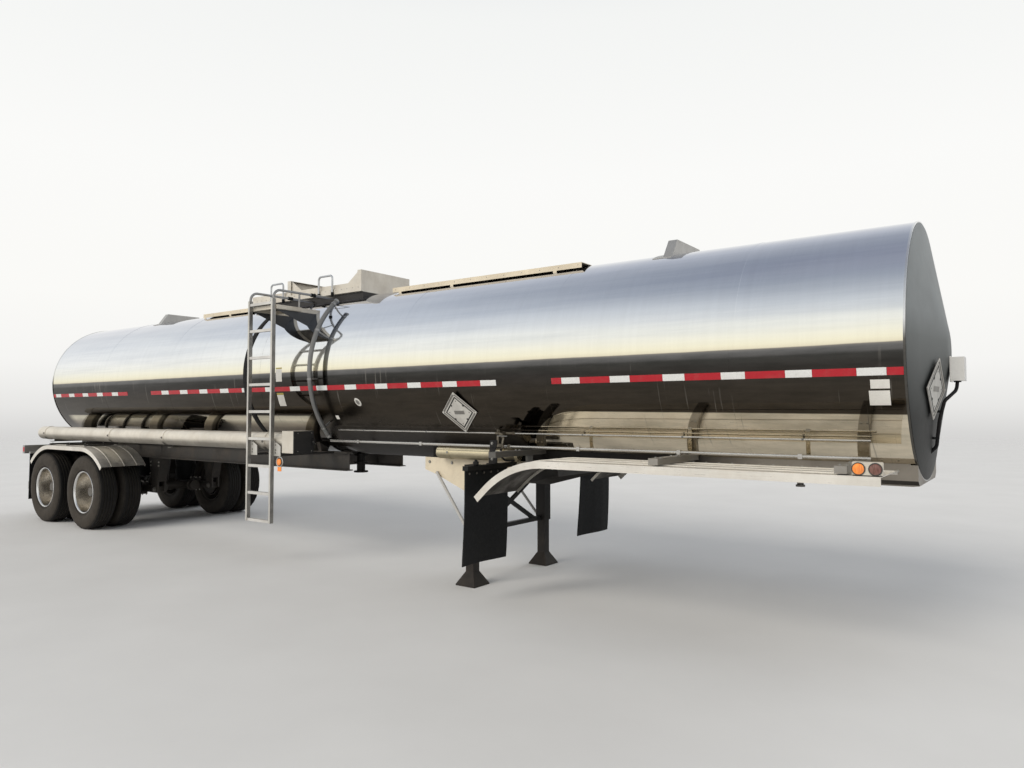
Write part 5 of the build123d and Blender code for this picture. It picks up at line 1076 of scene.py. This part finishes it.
rear_tape = Shape()
BEAM, BUMPER = (1.04, 1.0908), (0.465, 0.516)
THIN = 0.0002
for side in SIDES:
    for (z0, z1), y0, y1, look in (
            (BEAM, 1.232, 1.055, "white_tape"), (BEAM, 1.055, 1.01, "red_tape"),
            (BEAM, 0.56, 0.3, "red_tape"), (BEAM, 0.3, 0.122, "white_tape"), (BEAM, 0.122, 0.0, "red_tape"),
            (BUMPER, 0.02, 0.29, "white_tape"), (BUMPER, 0.3, 0.57, "red_tape"),
            (BUMPER, 0.58, 0.85, "white_tape"), (BUMPER, 0.86, 1.13, "red_tape")):
        rear_tape.box((-6.3768, side * y0, z0), (-6.3758, side * y1, z1), look, None, THIN)
    rear_tape.box((-6.37, side * 1.2396, 1.03), (-6.312, side * 1.2406, 1.1), "red_tape", None, THIN)
rear_tape.done("rear_tape")

# Floor, light and camera
floor_mesh = bpy.data.meshes.new("floor")
ring = [(x, y, 0) for x, y in around(90, 70)]
floor_mesh.from_pydata(ring, [], [tuple(range(len(ring)))])
floor = in_scene("floor", floor_mesh)
t = Tree("pale_floor")
t.finish(t.mix(t.spread(t.noise(0.8, detail=6), 0.3, 0.7), (0.66, 0.655, 0.645), (0.7, 0.695, 0.685)), 0.9)
length = t.nodes.new("ShaderNodeVectorMath")
length.operation = "LENGTH"
t.links.new(t.coord, length.inputs[0])
fade = t.nodes.new("ShaderNodeMixShader")
for value, socket in ((t.spread(length.outputs["Value"], 16.0, 52.0), fade.inputs["Fac"]),
                      (t.shader.outputs[0], fade.inputs[1]),
                      (t.nodes.new("ShaderNodeBsdfTransparent").outputs[0], fade.inputs[2]),
                      (fade.outputs[0], t.nodes["Material Output"].inputs["Surface"])):
    t.links.new(value, socket)
floor_mesh.materials.append(t.material)

# The world: a soft sky for what the camera and reflections see, and a plain pale light for the rest
world = bpy.data.worlds.new("studio")
bpy.context.scene.world = world
world.use_nodes = True
wn, wl = world.node_tree.nodes, world.node_tree.links
wn.clear()
split = wn.new("ShaderNodeSeparateXYZ")
span = wn.new("ShaderNodeMapRange")
span.inputs["From Min"].default_value = -1.0
span.inputs["From Max"].default_value = 1.0
FLOOR_SHADE = (0.665, 0.66, 0.65)
stops = ((0.0, FLOOR_SHADE), (0.486, FLOOR_SHADE), (0.503, (0.8, 0.795, 0.78)), (0.53, (0.92, 0.915, 0.895)),
         (0.57, (0.96, 0.955, 0.93)), (0.65, (0.96, 0.96, 0.945)), (0.74, (0.9, 0.91, 0.9)),
         (0.79, (0.78, 0.8, 0.82)), (0.86, (0.66, 0.69, 0.73)), (0.92, (0.5, 0.53, 0.58)),
         (0.96, (0.4, 0.43, 0.49)), (1.0, (0.36, 0.38, 0.45)))
sky = wn.new("ShaderNodeValToRGB")
fill_ramp(sky.color_ramp, stops)
seen, light = wn.new("ShaderNodeBackground"), wn.new("ShaderNodeBackground")
light.inputs["Color"].default_value = (0.93, 0.96, 1.0, 1)
light.inputs["Strength"].default_value = 0.5
path = wn.new("ShaderNodeLightPath").outputs
either, both_rays = wn.new("ShaderNodeMath"), wn.new("ShaderNodeMath")
for node in (either, both_rays):
    node.operation = "ADD"
    node.use_clamp = True
pick = wn.new("ShaderNodeMixShader")
for value, socket in ((wn.new("ShaderNodeTexCoord").outputs["Generated"], split.inputs[0]),
                      (split.outputs["Z"], span.inputs["Value"]), (span.outputs[0], sky.inputs["Fac"]),
                      (sky.outputs[0], seen.inputs["Color"]), (path["Is Camera Ray"], either.inputs[0]),
                      (path["Is Glossy Ray"], both_rays.inputs[0]),
                      (path["Is Transmission Ray"], both_rays.inputs[1]),
                      (both_rays.outputs[0], either.inputs[1]), (either.outputs[0], pick.inputs["Fac"]),
                      (light.outputs[0], pick.inputs[1]), (seen.outputs[0], pick.inputs[2]),
                      (pick.outputs[0], wn.new("ShaderNodeOutputWorld").inputs["Surface"])):
    wl.new(value, socket)


def aimed(name, data, at, ahead):
    """A lamp or camera at a place, looking along a direction."""
    thing = in_scene(name, data)
    thing.location = at
    thing.rotation_mode = "QUATERNION"
    thing.rotation_quaternion = Vector(ahead).to_track_quat("-Z", "Y")
    return thing


def soft_sun(name, come_from, strength, colour):
    """A wide sun lamp, so that the floor is lit evenly and shadows stay soft."""
    data = bpy.data.lights.new(name, "SUN")
    data.energy = strength
    data.angle = math.radians(35)
    data.color = colour
    aimed(name, data, come_from, -Vector(come_from)).visible_glossy = False


soft_sun("key_light", (-3, -14, 9), 2.3, (1.0, 0.95, 0.87))
soft_sun("fill_light", (4, 14, 9), 0.8, (0.93, 0.96, 1.0))

camera_data = bpy.data.cameras.new("camera")
camera_data.sensor_width = 36
camera_data.lens = 25.78
camera_data.clip_end = 300
turn, tilt = math.radians(125.983), math.radians(2.213)
ahead = (math.cos(tilt) * math.cos(turn), math.cos(tilt) * math.sin(turn), math.sin(tilt))
bpy.context.scene.camera = aimed("camera", camera_data, (6.853, -6.154, 1.654), ahead)
bpy.context.scene.view_settings.view_transform = "Standard"
